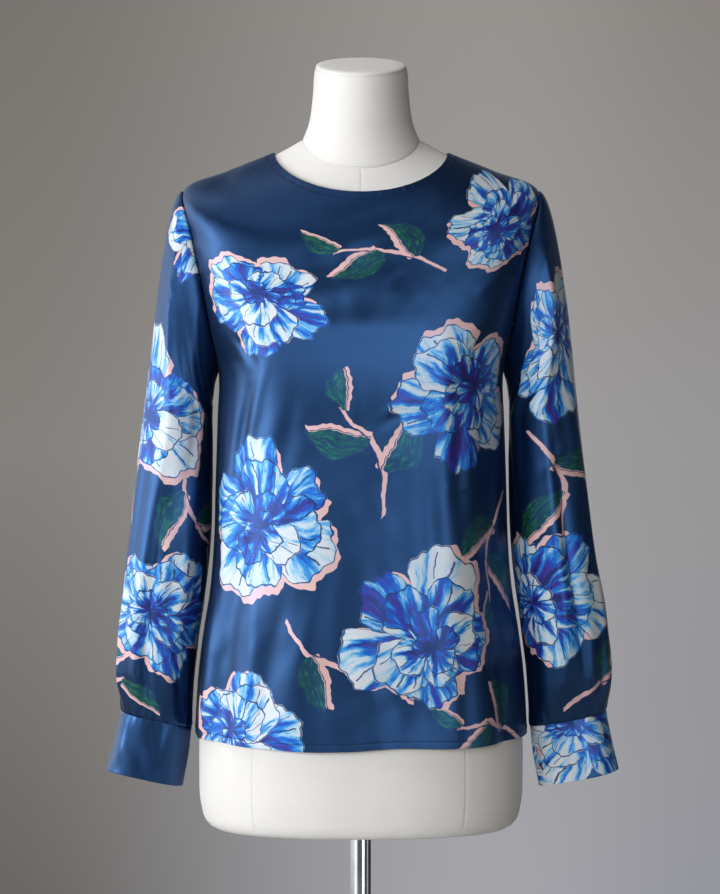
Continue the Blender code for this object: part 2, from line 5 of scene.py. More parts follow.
import bpy
import numpy as np
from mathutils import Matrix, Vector


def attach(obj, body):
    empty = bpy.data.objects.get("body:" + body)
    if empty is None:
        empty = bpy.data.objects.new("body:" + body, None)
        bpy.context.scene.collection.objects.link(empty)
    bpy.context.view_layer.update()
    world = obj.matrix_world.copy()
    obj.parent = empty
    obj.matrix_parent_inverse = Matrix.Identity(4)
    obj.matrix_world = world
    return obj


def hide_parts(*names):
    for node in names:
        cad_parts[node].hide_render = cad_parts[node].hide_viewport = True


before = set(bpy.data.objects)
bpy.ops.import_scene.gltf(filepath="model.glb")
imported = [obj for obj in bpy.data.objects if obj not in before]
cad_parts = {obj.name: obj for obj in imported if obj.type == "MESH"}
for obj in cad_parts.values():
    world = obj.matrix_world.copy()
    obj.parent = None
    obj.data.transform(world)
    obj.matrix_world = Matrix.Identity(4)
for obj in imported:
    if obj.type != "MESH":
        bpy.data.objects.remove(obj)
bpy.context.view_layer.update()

MM = 0.001  # sizes are in millimetres, as a maker gives them, and meshes are made in metres


# ============================================================ camera
# The blouse is seen from 4 m in front, at the height of the neck and 3 degrees down, through a long
# lens. The view's middle is on the waist.
CAMERA_DISTANCE = 4000
CAMERA_DOWN = 3  # degrees
VIEW_MIDDLE = (-1, 0, 958)
LENS = 152  # on a sensor whose long side is 36

camera_data = bpy.data.cameras.new("camera")
camera_data.lens = LENS
camera_data.sensor_width = 36
camera_data.clip_end = 100
camera = bpy.data.objects.new("camera", camera_data)
camera.location = Vector(VIEW_MIDDLE) * MM + CAMERA_DISTANCE * MM * Vector(
    (0, -np.cos(radians(CAMERA_DOWN)), np.sin(radians(CAMERA_DOWN)))
)
camera.rotation_euler = (pi / 2 - radians(CAMERA_DOWN), 0, 0)
bpy.context.scene.collection.objects.link(camera)
bpy.context.scene.camera = camera


# ============================================================ light
# A large soft box and a smaller one stand on the wearer's right, a weak one in front fills the shade,
# a low wide one above the camera draws the band across the chest, one hangs overhead, and one behind
# the left shoulder draws the edge. Two low ones draw the bands down the pole, and one brightens the
# cuffs. The satin mirrors the room below them too. The wall behind is grey, with painted light that
# makes it lighter to the right.
def soft_box(name, place, aim, size, power, mirrored=True, lights=True):
    """An oblong area light at a place in metres, turned to what it lights. It lights the scene, or the
    satin mirrors it, or both."""
    light = bpy.data.lights.new(name, "AREA")
    light.shape = "RECTANGLE"
    light.size, light.size_y = size
    light.energy = power
    made = bpy.data.objects.new(name, light)
    made.visible_camera, made.visible_glossy, made.visible_diffuse = False, mirrored, lights
    made.location = place
    made.rotation_euler = (Vector(aim) - Vector(place)).to_track_quat("-Z", "Y").to_euler()
    bpy.context.scene.collection.objects.link(made)


soft_box("key_light", (-1.95, -2.5, 1.3), (0, 0, 1.0), (2.7, 0.9), 62, mirrored=False)
soft_box("side_light", (-3.0, -0.9, 1.1), (0, 0, 0.95), (0.8, 1.1), 25)
soft_box("band_light", (0.25, -3.3, 2.15), (0, 0, 1.08), (2.6, 0.45), 10, lights=False)
soft_box("fill_light", (-0.6, -3.6, 1.2), (0, 0, 0.95), (1.6, 0.6), 12.0, mirrored=False)
soft_box("top_light", (-1.0, -0.6, 3.1), (0, 0, 1.1), (1.2, 1.2), 17.5, mirrored=False)
soft_box("edge_light", (2.4, 1.0, 1.8), (0, 0, 1.1), (0.8, 1.6), 0.8)
soft_box("pole_light_right", (-1.27, -0.80, 0.16), (0, 0, 0.3), (0.95, 0.5), 1.0, lights=False)
soft_box("pole_light_left", (1.47, -0.31, 0.16), (0, 0, 0.3), (0.45, 0.5), 0.36, lights=False)
soft_box("cuff_light", (-2.6, -1.25, 0.75), (0, 0, 0.65), (1.0, 0.5), 2.2, lights=False)


class Value:
    """One value in a node tree. Sums, products and comparisons with it add the nodes for them."""

    def __init__(self, nodes, socket):
        self.nodes, self.socket = nodes, socket

    def __add__(self, other):
        return self.nodes.math("ADD", self, other)

    def __sub__(self, other):
        return self.nodes.math("SUBTRACT", self, other)

    def __rsub__(self, other):
        return self.nodes.math("SUBTRACT", other, self)

    def __mul__(self, other):
        return self.nodes.math("MULTIPLY", self, other)

    def __truediv__(self, other):
        return self.nodes.math("DIVIDE", self, other)

    def __rtruediv__(self, other):
        return self.nodes.math("DIVIDE", other, self)

    def __pow__(self, other):
        return self.nodes.math("POWER", self, other)

    def __abs__(self):
        return self.nodes.math("ABSOLUTE", self)

    def __gt__(self, other):
        return self.nodes.math("GREATER_THAN", self, other)

    def __lt__(self, other):
        return self.nodes.math("LESS_THAN", self, other)

    __radd__, __rmul__ = __add__, __mul__


class Outputs:
    """A node's outputs as values, by number or by name."""

    def __init__(self, nodes, node):
        self.nodes, self.node = nodes, node

    def __getitem__(self, key):
        return Value(self.nodes, self.node.outputs[key])


class Nodes:
    """Short calls for one node tree. Each adds a node and gives back its output."""

    def __init__(self, tree):
        self.tree = tree
        tree.nodes.clear()

    def put(self, socket, value):
        if isinstance(value, Value):
            self.tree.links.new(value.socket, socket)
        else:
            socket.default_value = value

    def add(self, kind, values=(), **settings):
        """A node with these settings. The values go to its inputs by name, or in order."""
        node = self.tree.nodes.new(kind)
        for name, setting in settings.items():
            setattr(node, name, setting)
        pairs = values.items() if isinstance(values, dict) else enumerate(values)
        for key, value in pairs:
            self.put(node.inputs[key], value)
        return Outputs(self, node)

    def math(self, operation, *values, clamp=False):
        return self.add("ShaderNodeMath", values, operation=operation, use_clamp=clamp)[0]

    def sine(self, value):
        return self.math("SINE", value)

    def most(self, first, second):
        return self.math("MAXIMUM", first, second)

    def vector(self, operation, *values):
        found = self.add("ShaderNodeVectorMath", values, operation=operation)
        return found["Value" if operation in ("LENGTH", "DOT_PRODUCT") else "Vector"]

    def scaled(self, vector, factor):
        return self.add("ShaderNodeVectorMath", {0: vector, "Scale": factor}, operation="SCALE")["Vector"]

    def spun(self, vector, angle):
        values = {"Vector": vector, "Angle": angle}
        return self.add("ShaderNodeVectorRotate", values, rotation_type="Z_AXIS")[0]

    def mix(self, factor, first, second, kind="FLOAT"):
        """Mixes two values, vectors or colours."""
        a, out = {"FLOAT": (2, 0), "VECTOR": (4, 1), "RGBA": (6, 2)}[kind]
        return self.add("ShaderNodeMix", {0: factor, a: first, a + 1: second}, data_type=kind)[out]

    def within(self, value, low, high):
        """A soft step: 0 below low, 1 above high."""
        values = [value, low, high]
        return self.add("ShaderNodeMapRange", values, interpolation_type="SMOOTHSTEP")[0]

    def band(self, value, rising, falling):
        """1 between two soft steps, 0 outside them."""
        return self.within(value, *rising) - self.within(value, *falling)

    def ramp(self, value, stops):
        """A colour ramp from (place, colour) pairs."""
        made = self.add("ShaderNodeValToRGB", [value])
        elements = made.node.color_ramp.elements
        for place, colour in stops[1:-1]:
            elements.new(place).color = (*colour, 1)
        for element, (place, colour) in ((elements[0], stops[0]), (elements[-1], stops[-1])):
            element.position, element.color = place, (*colour, 1)
        return made[0]

    def noise(self, vector, scale, detail, roughness, output=0):
        values = {"Vector": vector, "Scale": scale, "Detail": detail, "Roughness": roughness}
        return self.add("ShaderNodeTexNoise", values)[output]

    def place(self):
        """Where a point of the object lies, in metres."""
        return self.add("ShaderNodeTexCoord")["Object"]

    def split(self, vector):
        return self.add("ShaderNodeSeparateXYZ", [vector])

    def group(self, tree, values):
        """A placed group. Its inputs are set by name."""
        return self.add("ShaderNodeGroup", values, node_tree=tree)


# These colours paint the light on the wall behind, which only the camera sees. It is lightest a little right
# of the middle of the view and darkest on the left, and its tone changes from its lower to its upper edge.
WALL_LEFT = [(0.0, (0.140, 0.131, 0.121)), (0.5, (0.232, 0.221, 0.206)), (1.0, (0.185, 0.172, 0.158))]
WALL_MIDDLE = [(0.0, (0.367, 0.367, 0.398)), (0.5, (0.345, 0.337, 0.337)), (1.0, (0.305, 0.287, 0.270))]
WALL_RIGHT = [(0.0, (0.300, 0.304, 0.336)), (0.5, (0.312, 0.307, 0.309)), (1.0, (0.248, 0.228, 0.212))]
WALL_SPAN = 0.10  # sideways slope of the lines of sight to the picture's edges
WALL_PEAK = 0.035  # and to where the wall is lightest
WALL_LOW, WALL_HIGH = -0.17, 0.066  # and their slopes at its lower and upper edge
WORLD_LIGHT = 0.25
# The room that the satin mirrors is dark, with a few bright sides. Each fades in and out round the
# horizon (radians, - is the wearer's right) and upwards (the slope of a line of sight).
ROOM_DARK = 0.04
Glow = namedtuple("Glow", "starts ends low high strength")
GLOWS = [
    Glow((-2.7, -2.1), (-0.95, -0.62), (-0.21, -0.10), (0.20, 0.48), 2.1),  # window on the wearer's right
    Glow((-2.8, -2.2), (-1.9, -1.5), (0.20, 0.48), (0.9, 1.3), 1.3),  # its upper part
    Glow((-0.95, -0.62), (0.20, 0.36), (-0.14, -0.02), (0.20, 0.48), 1.0),  # wall in front
    Glow((-0.95, -0.62), (0.20, 0.36), (0.05, 0.18), (0.20, 0.48), 0.75),  # its upper part
    Glow((0.20, 0.36), (0.56, 0.76), (-0.32, -0.16), (0.20, 0.48), 4.0),  # window on the wearer's left
    Glow((-1.6, -0.8), (0.3, 0.8), (0.58, 0.80), (2, 3), 0.85),  # ceiling
    Glow((-3.4, -3.3), (-2.7, -2.1), (-0.4, -0.2), (0.4, 0.7), 0.7),  # wall behind, on both sides
    Glow((2.5, 2.9), (3.3, 3.4), (-0.4, -0.2), (0.4, 0.7), 0.7),
]

world = bpy.data.worlds.new("studio")
world.use_nodes = True
bpy.context.scene.world = world
sky = Nodes(world.node_tree)
direction = sky.split(sky.add("ShaderNodeTexCoord")["Generated"])
raised = sky.add("ShaderNodeMapRange", [direction[2], WALL_LOW, WALL_HIGH])[0]
from_left = sky.within(direction[0], -WALL_SPAN, WALL_PEAK)
to_right = sky.within(direction[0], WALL_PEAK, WALL_SPAN)
wall = sky.mix(from_left, sky.ramp(raised, WALL_LEFT), sky.ramp(raised, WALL_MIDDLE), "RGBA")
wall = sky.mix(to_right, wall, sky.ramp(raised, WALL_RIGHT), "RGBA")
seen = sky.add("ShaderNodeBackground", {"Color": wall, "Strength": 1.0})[0]
to_side = sky.within(direction[0], -0.3, 0.9)  # the room's light is weak and warm on the wearer's left
ambient = sky.mix(to_side, (1.0, 0.95, 0.90, 1), (0.42, 0.34, 0.27, 1), "RGBA")
lit = sky.add("ShaderNodeBackground", {"Color": ambient, "Strength": WORLD_LIGHT})[0]
heading = sky.math("ARCTAN2", direction[0], direction[1] * -1.0)
strength = ROOM_DARK
for glow in GLOWS:
    patch = sky.band(heading, glow.starts, glow.ends) * sky.band(direction[2], glow.low, glow.high)
    strength = sky.math("MULTIPLY_ADD", patch, glow.strength, strength)
room = sky.add("ShaderNodeBackground", {"Color": (0.9, 0.95, 1.0, 1), "Strength": strength})[0]
rays = sky.add("ShaderNodeLightPath")
unseen = sky.add("ShaderNodeMixShader", [rays["Is Glossy Ray"], lit, room])[0]
sky.add("ShaderNodeOutputWorld", [sky.add("ShaderNodeMixShader", [rays["Is Camera Ray"], unseen, seen])[0]])

bpy.context.scene.view_settings.view_transform = "Standard"


# ============================================================ floor
# A plain pale floor, a little larger than the light falls on.
FLOOR_RADIUS = 2600


def grid_faces(rows, across, closed=False):
    """The quads of a grid of points, row by row. A closed grid joins its last column to its first."""
    last = across if closed else across - 1
    r, c = np.meshgrid(np.arange(rows - 1), np.arange(last), indexing="ij")
    right = (c + 1) % across
    this, above = r * across, (r + 1) * across
    return np.stack([this + c, this + right, above + right, above + c], -1).reshape(-1, 4)


def unit(vectors):
    """Vectors of length 1, with the directions of these."""
    return vectors / np.linalg.norm(vectors, axis=-1, keepdims=True)


def clipped(value):
    """The value, but not below 0 or above 1."""
    return np.clip(value, 0, 1)


def bell(value):
    """A bell curve: 1 at 0, and fading both ways."""
    return np.exp(-(value**2))


def add_mesh(name, points, faces, material, flat=None, corners=None):
    """One smooth object from points in millimetres. flat gives places on the cut cloth, in millimetres
    too, and becomes the UV map of that name, in metres. corners are the faces by their places in flat,
    where those differ from the points."""
    mesh = bpy.data.meshes.new(name)
    faces = [list(map(int, face)) for face in faces]
    mesh.from_pydata((np.reshape(points, (-1, 3)) * MM).tolist(), [], faces)
    if flat is not None:
        corners = np.concatenate(faces if corners is None else corners)
        places = np.reshape(flat, (-1, 2))[corners] * MM
        mesh.uv_layers.new(name="flat").uv.foreach_set("vector", places.astype(np.float32).ravel())
    mesh.shade_smooth()
    mesh.materials.append(material)
    made = bpy.data.objects.new(name, mesh)
    bpy.context.scene.collection.objects.link(made)
    return made


def closed_solid(name, grid, material, bottom, top):
    """A solid from closed rings, with a fan to a height on the axis at the bottom and at the top. Each
    end is a height or a point."""
    rows, across = grid.shape[:2]
    count, last = rows * across, (rows - 1) * across
    pairs = [(i, (i + 1) % across) for i in range(across)]
    fans = [(count, b, a) for a, b in pairs] + [(count + 1, last + a, last + b) for a, b in pairs]
    ends = [end if np.ndim(end) else (0, 0, end) for end in (bottom, top)]
    points = np.concatenate([grid.reshape(-1, 3), ends])
    return add_mesh(name, points, [*grid_faces(rows, across, closed=True), *fans], material)


def place_piece(piece, node=None):
    """Sets what a piece rides on, and hides the frame's node that it takes the place of."""
    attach(piece, "root")
    if node:
        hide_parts(node)


def turned(profile, count):
    """Rings of a turned piece about +Z, all with the same count of points, from (radius, height) pairs."""
    angle = np.arange(count) * 2 * pi / count
    outward = np.stack([np.sin(angle), -np.cos(angle), np.zeros(count)], -1)
    return np.stack([outward * radius + [0, 0, height] for radius, height in profile])


def plain_material(name, colour, roughness, **values):
    """A Principled shader and the tree that it stands in."""
    material = bpy.data.materials.new(name)
    material.use_nodes = True
    tree = Nodes(material.node_tree)
    values = {"Base Color": (*colour, 1), "Roughness": roughness, **values}
    shader = tree.add("ShaderNodeBsdfPrincipled", values)
    tree.add("ShaderNodeOutputMaterial", [shader[0]])
    return material, tree, shader.node


def link_surface(tree, shader, values, height, strength, distance):
    """Links to a shader, by name, the values that vary over its surface, and the height of a bump."""
    bump = tree.add("ShaderNodeBump", {"Strength": strength, "Distance": distance, "Height": height})
    for name, value in {**values, "Normal": bump[0]}.items():
        tree.put(shader.inputs[name], value)


floor_grey, _, _ = plain_material("floor", (0.52, 0.51, 0.50), 0.8)
floor_rings = turned([(radius, -1) for radius in (FLOOR_RADIUS, FLOOR_RADIUS / 2, 1)], 96)
add_mesh("floor", floor_rings, grid_faces(3, 96, closed=True), floor_grey)


# ============================================================ dress form
# The form is a hard core under a stretched off-white cotton cover, sewn in panels that meet at the
# centre front and back, at the sides and at a princess seam each side. A neck with a flat cap is
# sewn on at a seam of its own. One row below is one level of it: its station along the panel, its
# height at the sides, centre front and centre back, its half width, its reach to the front and
# back, how square it is, and the power with which its height falls away from the sides.
Ring = namedtuple("Ring", "station z_side z_front z_back half front back square drop", defaults=[1.6])
FORM_RINGS = [
    Ring(0, 554, 554, 554, 146, 97, 94, 2.35),
    Ring(9, 556, 556, 556, 157, 105.5, 103, 2.33),
    Ring(20, 563, 563, 563, 165, 110.5, 109.5, 2.32),
    Ring(38, 577, 577, 577, 169.5, 113, 114, 2.30),
    Ring(85, 620, 620, 620, 172, 114, 118, 2.28),  # hip
    Ring(135, 670, 670, 670, 171, 114, 119, 2.25),
    Ring(190, 725, 725, 725, 166, 112, 116, 2.22),
    Ring(240, 775, 775, 775, 157, 105, 108, 2.20),
    Ring(300, 835, 835, 835, 137, 91, 92, 2.15),
    Ring(350, 885, 885, 885, 125, 84, 82, 2.12),  # waist
    Ring(410, 945, 945, 945, 130, 98, 87, 2.15),
    Ring(465, 1000, 998, 1000, 139, 118, 96, 2.20),
    Ring(508, 1043, 1038, 1043, 144, 125, 102, 2.28),  # bust
    Ring(560, 1092, 1080, 1091, 155, 120, 106, 2.42),
    Ring(610, 1138, 1114, 1133, 164, 112, 105, 2.52),
    Ring(662, 1184, 1143, 1170, 172, 103, 98, 2.50),
    Ring(703, 1223, 1170, 1200, 172.5, 96, 87, 2.38),  # shoulder end
    Ring(752, 1249.9, 1199.5, 1228.5, 136, 88, 74, 2.20, 1.5),
    Ring(802, 1267.1, 1223.5, 1251.5, 90, 77, 61, 2.08, 1.25),
    Ring(835, 1282.4, 1251.4, 1277.4, 61.8, 56.8, 49.8, 2.02, 1.1),  # neck seam
]
NECK_RINGS = [
    Ring(0, 1282.5, 1251.5, 1277.5, 61.6, 56.6, 49.6, 2.02, 1.1),  # neck seam
    Ring(16, 1298, 1273, 1295, 55.5, 51.5, 46.5, 2.0, 1.1),
    Ring(47, 1330.5, 1313.5, 1335, 50.6, 52, 45, 2.0, 1.1),
    Ring(70, 1355.5, 1344.5, 1364, 48.6, 53, 43.5, 2.0, 1.0),
    Ring(76, 1361, 1350, 1371.5, 47.0, 52.5, 43, 2.0, 1.0),  # cap's rim
]
FORM_TOP = 835  # station of the neck seam
FORM_RADIUS = 115  # about the form's mean one
SEAM_END = 20  # a seam's groove fades over this way at both ends
CAP_SEAM = 73.5  # station of the neck where the cap's padded disc begins
SEAM_DEPTH, SEAM_HALF_WIDTH = 0.32, 1.1  # of the groove at a cover's seam
# The cover's seams: the angle of each from centre front in degrees, and the stations it runs between.
Seam = namedtuple("Seam", "angle low high")
BODY_SEAMS = [
    Seam(0, 480, 860),
    Seam(36.5, -10, 640),
    Seam(-38.5, -10, 640),
    Seam(90, 0, 860),
    Seam(-90, 0, 860),
    Seam(142.5, 0, 640),
    Seam(-142.5, 0, 640),
    Seam(180, 0, 860),
]
NECK_SEAMS = [Seam(180, -40, 68)]
SOCKET_RADIUS, SOCKET_DEPTH = 11.3, 40  # of the hollow that the pole stands in


def through(knots, values, at):
    """A smooth curve through the knots: cubic pieces whose slope at a knot is that of its neighbours."""
    knots, values = np.asarray(knots, float), np.asarray(values, float)
    slopes = np.gradient(values, knots)
    i = np.clip(np.searchsorted(knots, at, side="right") - 1, 0, len(knots) - 2)
    gap = knots[i + 1] - knots[i]
    f = (at - knots[i]) / gap
    return (
        values[i] * (1 + 2 * f) * (1 - f) ** 2
        + values[i + 1] * f * f * (3 - 2 * f)
        + gap * slopes[i] * f * (1 - f) ** 2
        - gap * slopes[i + 1] * f * f * (1 - f)
    )


def columns(table, at):
    """Every column of a ring table, read smoothly at these stations."""
    stations = [row.station for row in table]
    return type(table[0])(*(through(stations, column, at) for column in zip(*table)))


def ring_point(table, station, angle):
    """A point of a torso: a ring that is an ellipse made squarer, its front and back halves of their
    own depth, whose height falls from the sides to centre front and centre back."""
    station, angle = np.broadcast_arrays(np.asarray(station, float), np.asarray(angle, float))
    ring = columns(table, station)
    across, along = np.sin(angle), np.cos(angle)
    to_side = np.abs(across) ** (2 / ring.square)
    to_middle = np.abs(along) ** (2 / ring.square)
    is_front = along >= 0
    middle_z = np.where(is_front, ring.z_front, ring.z_back)
    x = np.sign(across) * ring.half * to_side
    y = -np.sign(along) * np.where(is_front, ring.front, ring.back) * to_middle
    z = ring.z_side + (middle_z - ring.z_side) * to_middle**ring.drop
    return np.stack([x, y, z], axis=-1)


def grid_normals(grid):
    """Unit normals of closed rings whose rows rise and whose columns run to the wearer's left in front."""
    around = np.roll(grid, -1, axis=1) - np.roll(grid, 1, axis=1)
    return unit(np.cross(around, np.gradient(grid, axis=0)))


def row_lengths(grid):
    """How far along its row each point lies, from the row's first point."""
    steps = np.linalg.norm(np.diff(grid, axis=1), axis=-1)
    return np.concatenate([np.zeros((len(grid), 1)), np.cumsum(steps, axis=1)], axis=1)


def column_lengths(grid):
    """How far up its column each point lies, from the column's first point."""
    return row_lengths(grid.transpose(1, 0, 2)).T


def steps_with(start, stop, step, *fine, near=(-5, -3, -1.8, -1, -0.5, 0, 0.5, 1, 1.8, 3, 5)):
    """Even steps from start to stop, with closer ones round each fine place."""
    marks = [np.linspace(start, stop, round((stop - start) / step) + 1)]
    marks += [place + np.array(near) for place in fine]
    marks = np.unique(np.round(np.concatenate(marks), 2))
    marks = marks[(marks >= start) & (marks <= stop)]
    kept = np.concatenate([[True], np.diff(marks) > 0.3])
    return marks[kept]


def cover_material():
    """Matt off-white cotton: a plain weave in the bump, faint slubs in the colour."""
    material, tree, shader = plain_material(
        "form_cover", (0.84, 0.84, 0.83), 0.88,
        **{"Specular IOR Level": 0.25, "Sheen Weight": 0.12, "Sheen Roughness": 0.5},
    )
    turns = 2 * pi / (0.55 * MM)  # for each metre: the threads lie 0.55 mm apart
    place = tree.place()
    x, y, z = tree.split(place)
    weave = tree.sine(z * turns) * tree.sine((x + y) * turns)
    slub = tree.noise(place, 750, 3, 0.6)
    cloud = tree.noise(place, 14, 3, 0.55)
    tones = [(0.3, (0.775, 0.772, 0.762)), (0.7, (0.858, 0.856, 0.845))]
    shade = tree.ramp(slub * 0.5 + cloud * 0.5, tones)
    link_surface(tree, shader, {"Base Color": shade}, weave * 0.5 + slub * 0.9, 0.5, 0.0002)
    return material


form_cover = cover_material()


def seam_groove(distance):
    """The depth of a seam's groove, from the distance to it: a narrow bell."""
    return SEAM_DEPTH * bell(distance / SEAM_HALF_WIDTH)


def form_surface(table, stations, seams, count):
    """A stretch of the form, and the depth of the grooves along its seams. Columns gather at the
    seams, so that a groove is a real one."""
    aside = np.array([-2.4, -1.2, -0.6, 0, 0.6, 1.2, 2.4]) / FORM_RADIUS
    near = np.concatenate([radians(seam.angle) + aside for seam in seams])
    angles = np.concatenate([np.linspace(-pi, pi, count, endpoint=False), near])
    angles = np.unique(np.round((angles + pi) % (2 * pi) - pi, 4))
    angles = angles[np.concatenate([[True], np.diff(angles) > 0.002])]
    grid = ring_point(table, stations[:, None], angles[None, :])
    reach = np.linalg.norm(grid[..., :2], axis=-1)
    dip = np.zeros(reach.shape)
    for seam in seams:
        off = (angles - radians(seam.angle) + pi) % (2 * pi) - pi
        runs = clipped((stations - seam.low) / SEAM_END) * clipped((seam.high - stations) / SEAM_END)
        dip = np.maximum(dip, seam_groove(off * reach) * runs[:, None])
    return grid, dip


body_stations = steps_with(0, FORM_TOP, 7, FORM_TOP, near=(-3, -2, -1.2, -0.5, 0))
body_grid, dip = form_surface(FORM_RINGS, body_stations, BODY_SEAMS, 150)
dip = np.maximum(dip, 0.2 * seam_groove(FORM_TOP - body_stations)[:, None])
body_grid = body_grid - grid_normals(body_grid) * dip[..., None]
underside = [body_grid[0] * [f, f, 1] + [0, 0, 1.5 * (1 - f)] for f in (0.35, 0.7, 0.9, 0.97)]
socket = body_grid[0].copy()
socket[:, :2] *= SOCKET_RADIUS / np.linalg.norm(socket[:, :2], axis=-1, keepdims=True)
body_all = np.concatenate([[socket + [0, 0, SOCKET_DEPTH], socket + [0, 0, 3]], underside, body_grid])
form_body = closed_solid("form_body_cover", body_all, form_cover, 598, 1268)
place_piece(form_body, "form_body")

neck_stations = steps_with(0, CAP_SEAM, 2.5, 0, CAP_SEAM, near=(-2, -1.2, -0.6, 0, 0.6, 1.2, 2))
neck_grid, dip = form_surface(NECK_RINGS, neck_stations, NECK_SEAMS, 110)
dip = np.maximum(0.6 * dip, 0.2 * seam_groove(neck_stations)[:, None])
dip = np.maximum(dip, 1.2 * seam_groove(CAP_SEAM - neck_stations)[:, None])
neck_grid = neck_grid - grid_normals(neck_grid) * dip[..., None]
rim_middle = neck_grid[-1].mean(axis=0)
# The cap's rows: how wide each is, and how high above its seam.
CAP_ROWS = [(1.004, 0.3), (1.007, 0.8), (1.004, 1.5), (0.992, 2.3), (0.970, 2.9), (0.94, 3.3), (0.90, 3.6),
            (0.82, 3.9), (0.6, 4.1), (0.3, 4.1)]
cap = [rim_middle + (neck_grid[-1] - rim_middle) * share + [0, 0, lift] for share, lift in CAP_ROWS]
neck_all = np.concatenate([[neck_grid[0] * [0.6, 0.6, 1]], neck_grid, cap])
neck_top = rim_middle + [0, 0, CAP_ROWS[-1][1]]
form_neck = closed_solid("form_neck_cover", neck_all, form_cover, 1266, neck_top)
place_piece(form_neck, "form_neck")


# ============================================================ stand
# The pole is a polished steel tube of 22 mm. The base is a turned steel plate with a collar that
# holds the pole, brushed round and round.
POLE_RADIUS = 11
BASE_RADIUS = 170


def steel_material(name, roughness, lines):
    """Steel with fine lines from polishing: lines is their scale along x, y and z."""
    material, tree, shader = plain_material(name, (0.60, 0.60, 0.61), roughness, Metallic=1.0)
    place = tree.place()
    line = tree.noise(tree.vector("MULTIPLY", place, lines), 1.0, 4, 0.65)
    smudge = tree.noise(place, 30, 3, 0.6)
    link_surface(tree, shader, {
        "Roughness": 0.72 * roughness + line * (0.36 * roughness) + smudge * (0.20 * roughness),
        "Base Color": tree.ramp(smudge, [(0.3, (0.52, 0.52, 0.53)), (0.7, (0.64, 0.64, 0.65))]),
    }, line, 0.2 * roughness, 0.0001)
    return material


pole_steel = steel_material("pole_steel", 0.13, (900, 900, 25))
base_steel = steel_material("base_steel", 0.34, (40, 40, 900))
pole_rings = turned([(POLE_RADIUS, height) for height in (4.3, 30, 300, 600, 613)], 72)
rounded = [(2.2, 0), (0.8, 0.6), (0, 2), (0, 6), (0.9, 8.1), (3, 9), (8, 9.2)]  # how far in, and how high
base_rings = turned([(BASE_RADIUS - inwards, height) for inwards, height in rounded] + [
    (120, 10.6), (70, 12), (32, 13), (26, 13.4), (22.5, 15), (20, 18), (19, 21), (19, 31.6), (18.4, 33.2),
    (17, 34), (12.4, 34), (11.4, 33.4), (11.3, 20), (11.3, 4),
], 120)
place_piece(closed_solid("pole", pole_rings, pole_steel, 4.3, 613), "stand_pole")
place_piece(closed_solid("base", base_rings, base_steel, 0, 4), "stand_base")


# ============================================================ satin and its print
# Heavy navy satin. It is dyed dark and printed with large open blossoms in white, blue and violet,
# each with loose ink lines and a pale pink shadow that is out of register, and with green sprigs on
# pink stems. The places of the motifs differ on every piece, as the pieces were cut from one length.
INK = (0.010, 0.007, 0.055)
PINK = (0.80, 0.52, 0.48)
GROUND = (0.0016, 0.0060, 0.0210)

SOCKET_KINDS = {"Point": "Vector", "Centre": "Vector", "Local": "Vector", "Root": "Vector",
                "Ground": "Color", "Colour": "Color"}  # all others are numbers


def new_group(name, inputs, outputs):
    """An empty node group, with its inputs and outputs named in two texts. It gives back its nodes, the
    inputs by name and a call that sets the outputs and gives back the group."""
    tree = bpy.data.node_groups.new(name, "ShaderNodeTree")
    for way, names in (("INPUT", inputs), ("OUTPUT", outputs)):
        for socket in names.split():
            kind = SOCKET_KINDS.get(socket, "Float")
            tree.interface.new_socket(socket, in_out=way, socket_type=f"NodeSocket{kind}")
    nodes = Nodes(tree)

    def give(**values):
        nodes.add("NodeGroupOutput", values)
        return tree

    return nodes, nodes.add("NodeGroupInput"), give


def placing_group():
    """Keeps the nearer of two motifs: one that was found so far, and one at a centre. A motif's own
    coordinates are turned by its angle and divided by its size."""
    n, entry, give = new_group(
        "nearer_motif", "Point Centre Turn Size Seed Distance Local Found", "Distance Local Found"
    )
    offset = n.vector("SUBTRACT", entry["Point"], entry["Centre"])
    local = n.scaled(n.spun(offset, entry["Turn"]), 1.0 / entry["Size"])
    distance = n.vector("LENGTH", local)
    nearer = distance < entry["Distance"]
    return give(
        Distance=n.math("MINIMUM", distance, entry["Distance"]),
        Local=n.mix(nearer, entry["Local"], local, "VECTOR"),
        Found=n.mix(nearer, entry["Found"], entry["Seed"]),
    )


def petal_group():
    """One ring of petals. Each petal takes an equal share of the turn. Its edge is a rounded lobe whose
    length differs from petal to petal. It gives how far inside the edge a point is, how far up and
    across the petal, how far from the line to the next petal, the petal's own random value and its
    number."""
    n, entry, give = new_group(
        "petal_ring", "Local Petals Reach Notch Turn Seed", "Inside Up Across Gap Chance Index"
    )
    x, y, _ = n.split(entry["Local"])
    distance = n.vector("LENGTH", entry["Local"])
    share = (n.math("ARCTAN2", y, x) + entry["Turn"]) / (2 * pi) * entry["Petals"]
    index = n.math("FLOORED_MODULO", n.math("FLOOR", share), entry["Petals"])
    across = n.math("FRACT", share) - 0.5
    spot = n.add("ShaderNodeCombineXYZ", [index, entry["Seed"], 3.7])[0]
    random = n.add("ShaderNodeTexWhiteNoise", {"Vector": spot})
    chance = random["Value"]
    lean = (n.split(random["Color"])[1] - 0.5) * 0.22
    lobe = abs((across + lean) * 2.0) ** 2.6
    wave = n.sine(across * 19.0 + chance * 6.0)
    nick = n.sine(across * 52.0 + chance * 17.0)
    length = 0.82 + chance * 0.24 + wave * 0.035 + nick * 0.012
    edge = entry["Reach"] * (length * (1.0 - lobe * entry["Notch"]))
    return give(
        Inside=edge - distance,
        Up=distance / edge,
        Across=across,
        Gap=(0.5 - abs(across)) * distance * (2 * pi) / entry["Petals"],
        Chance=chance,
        Index=index,
    )


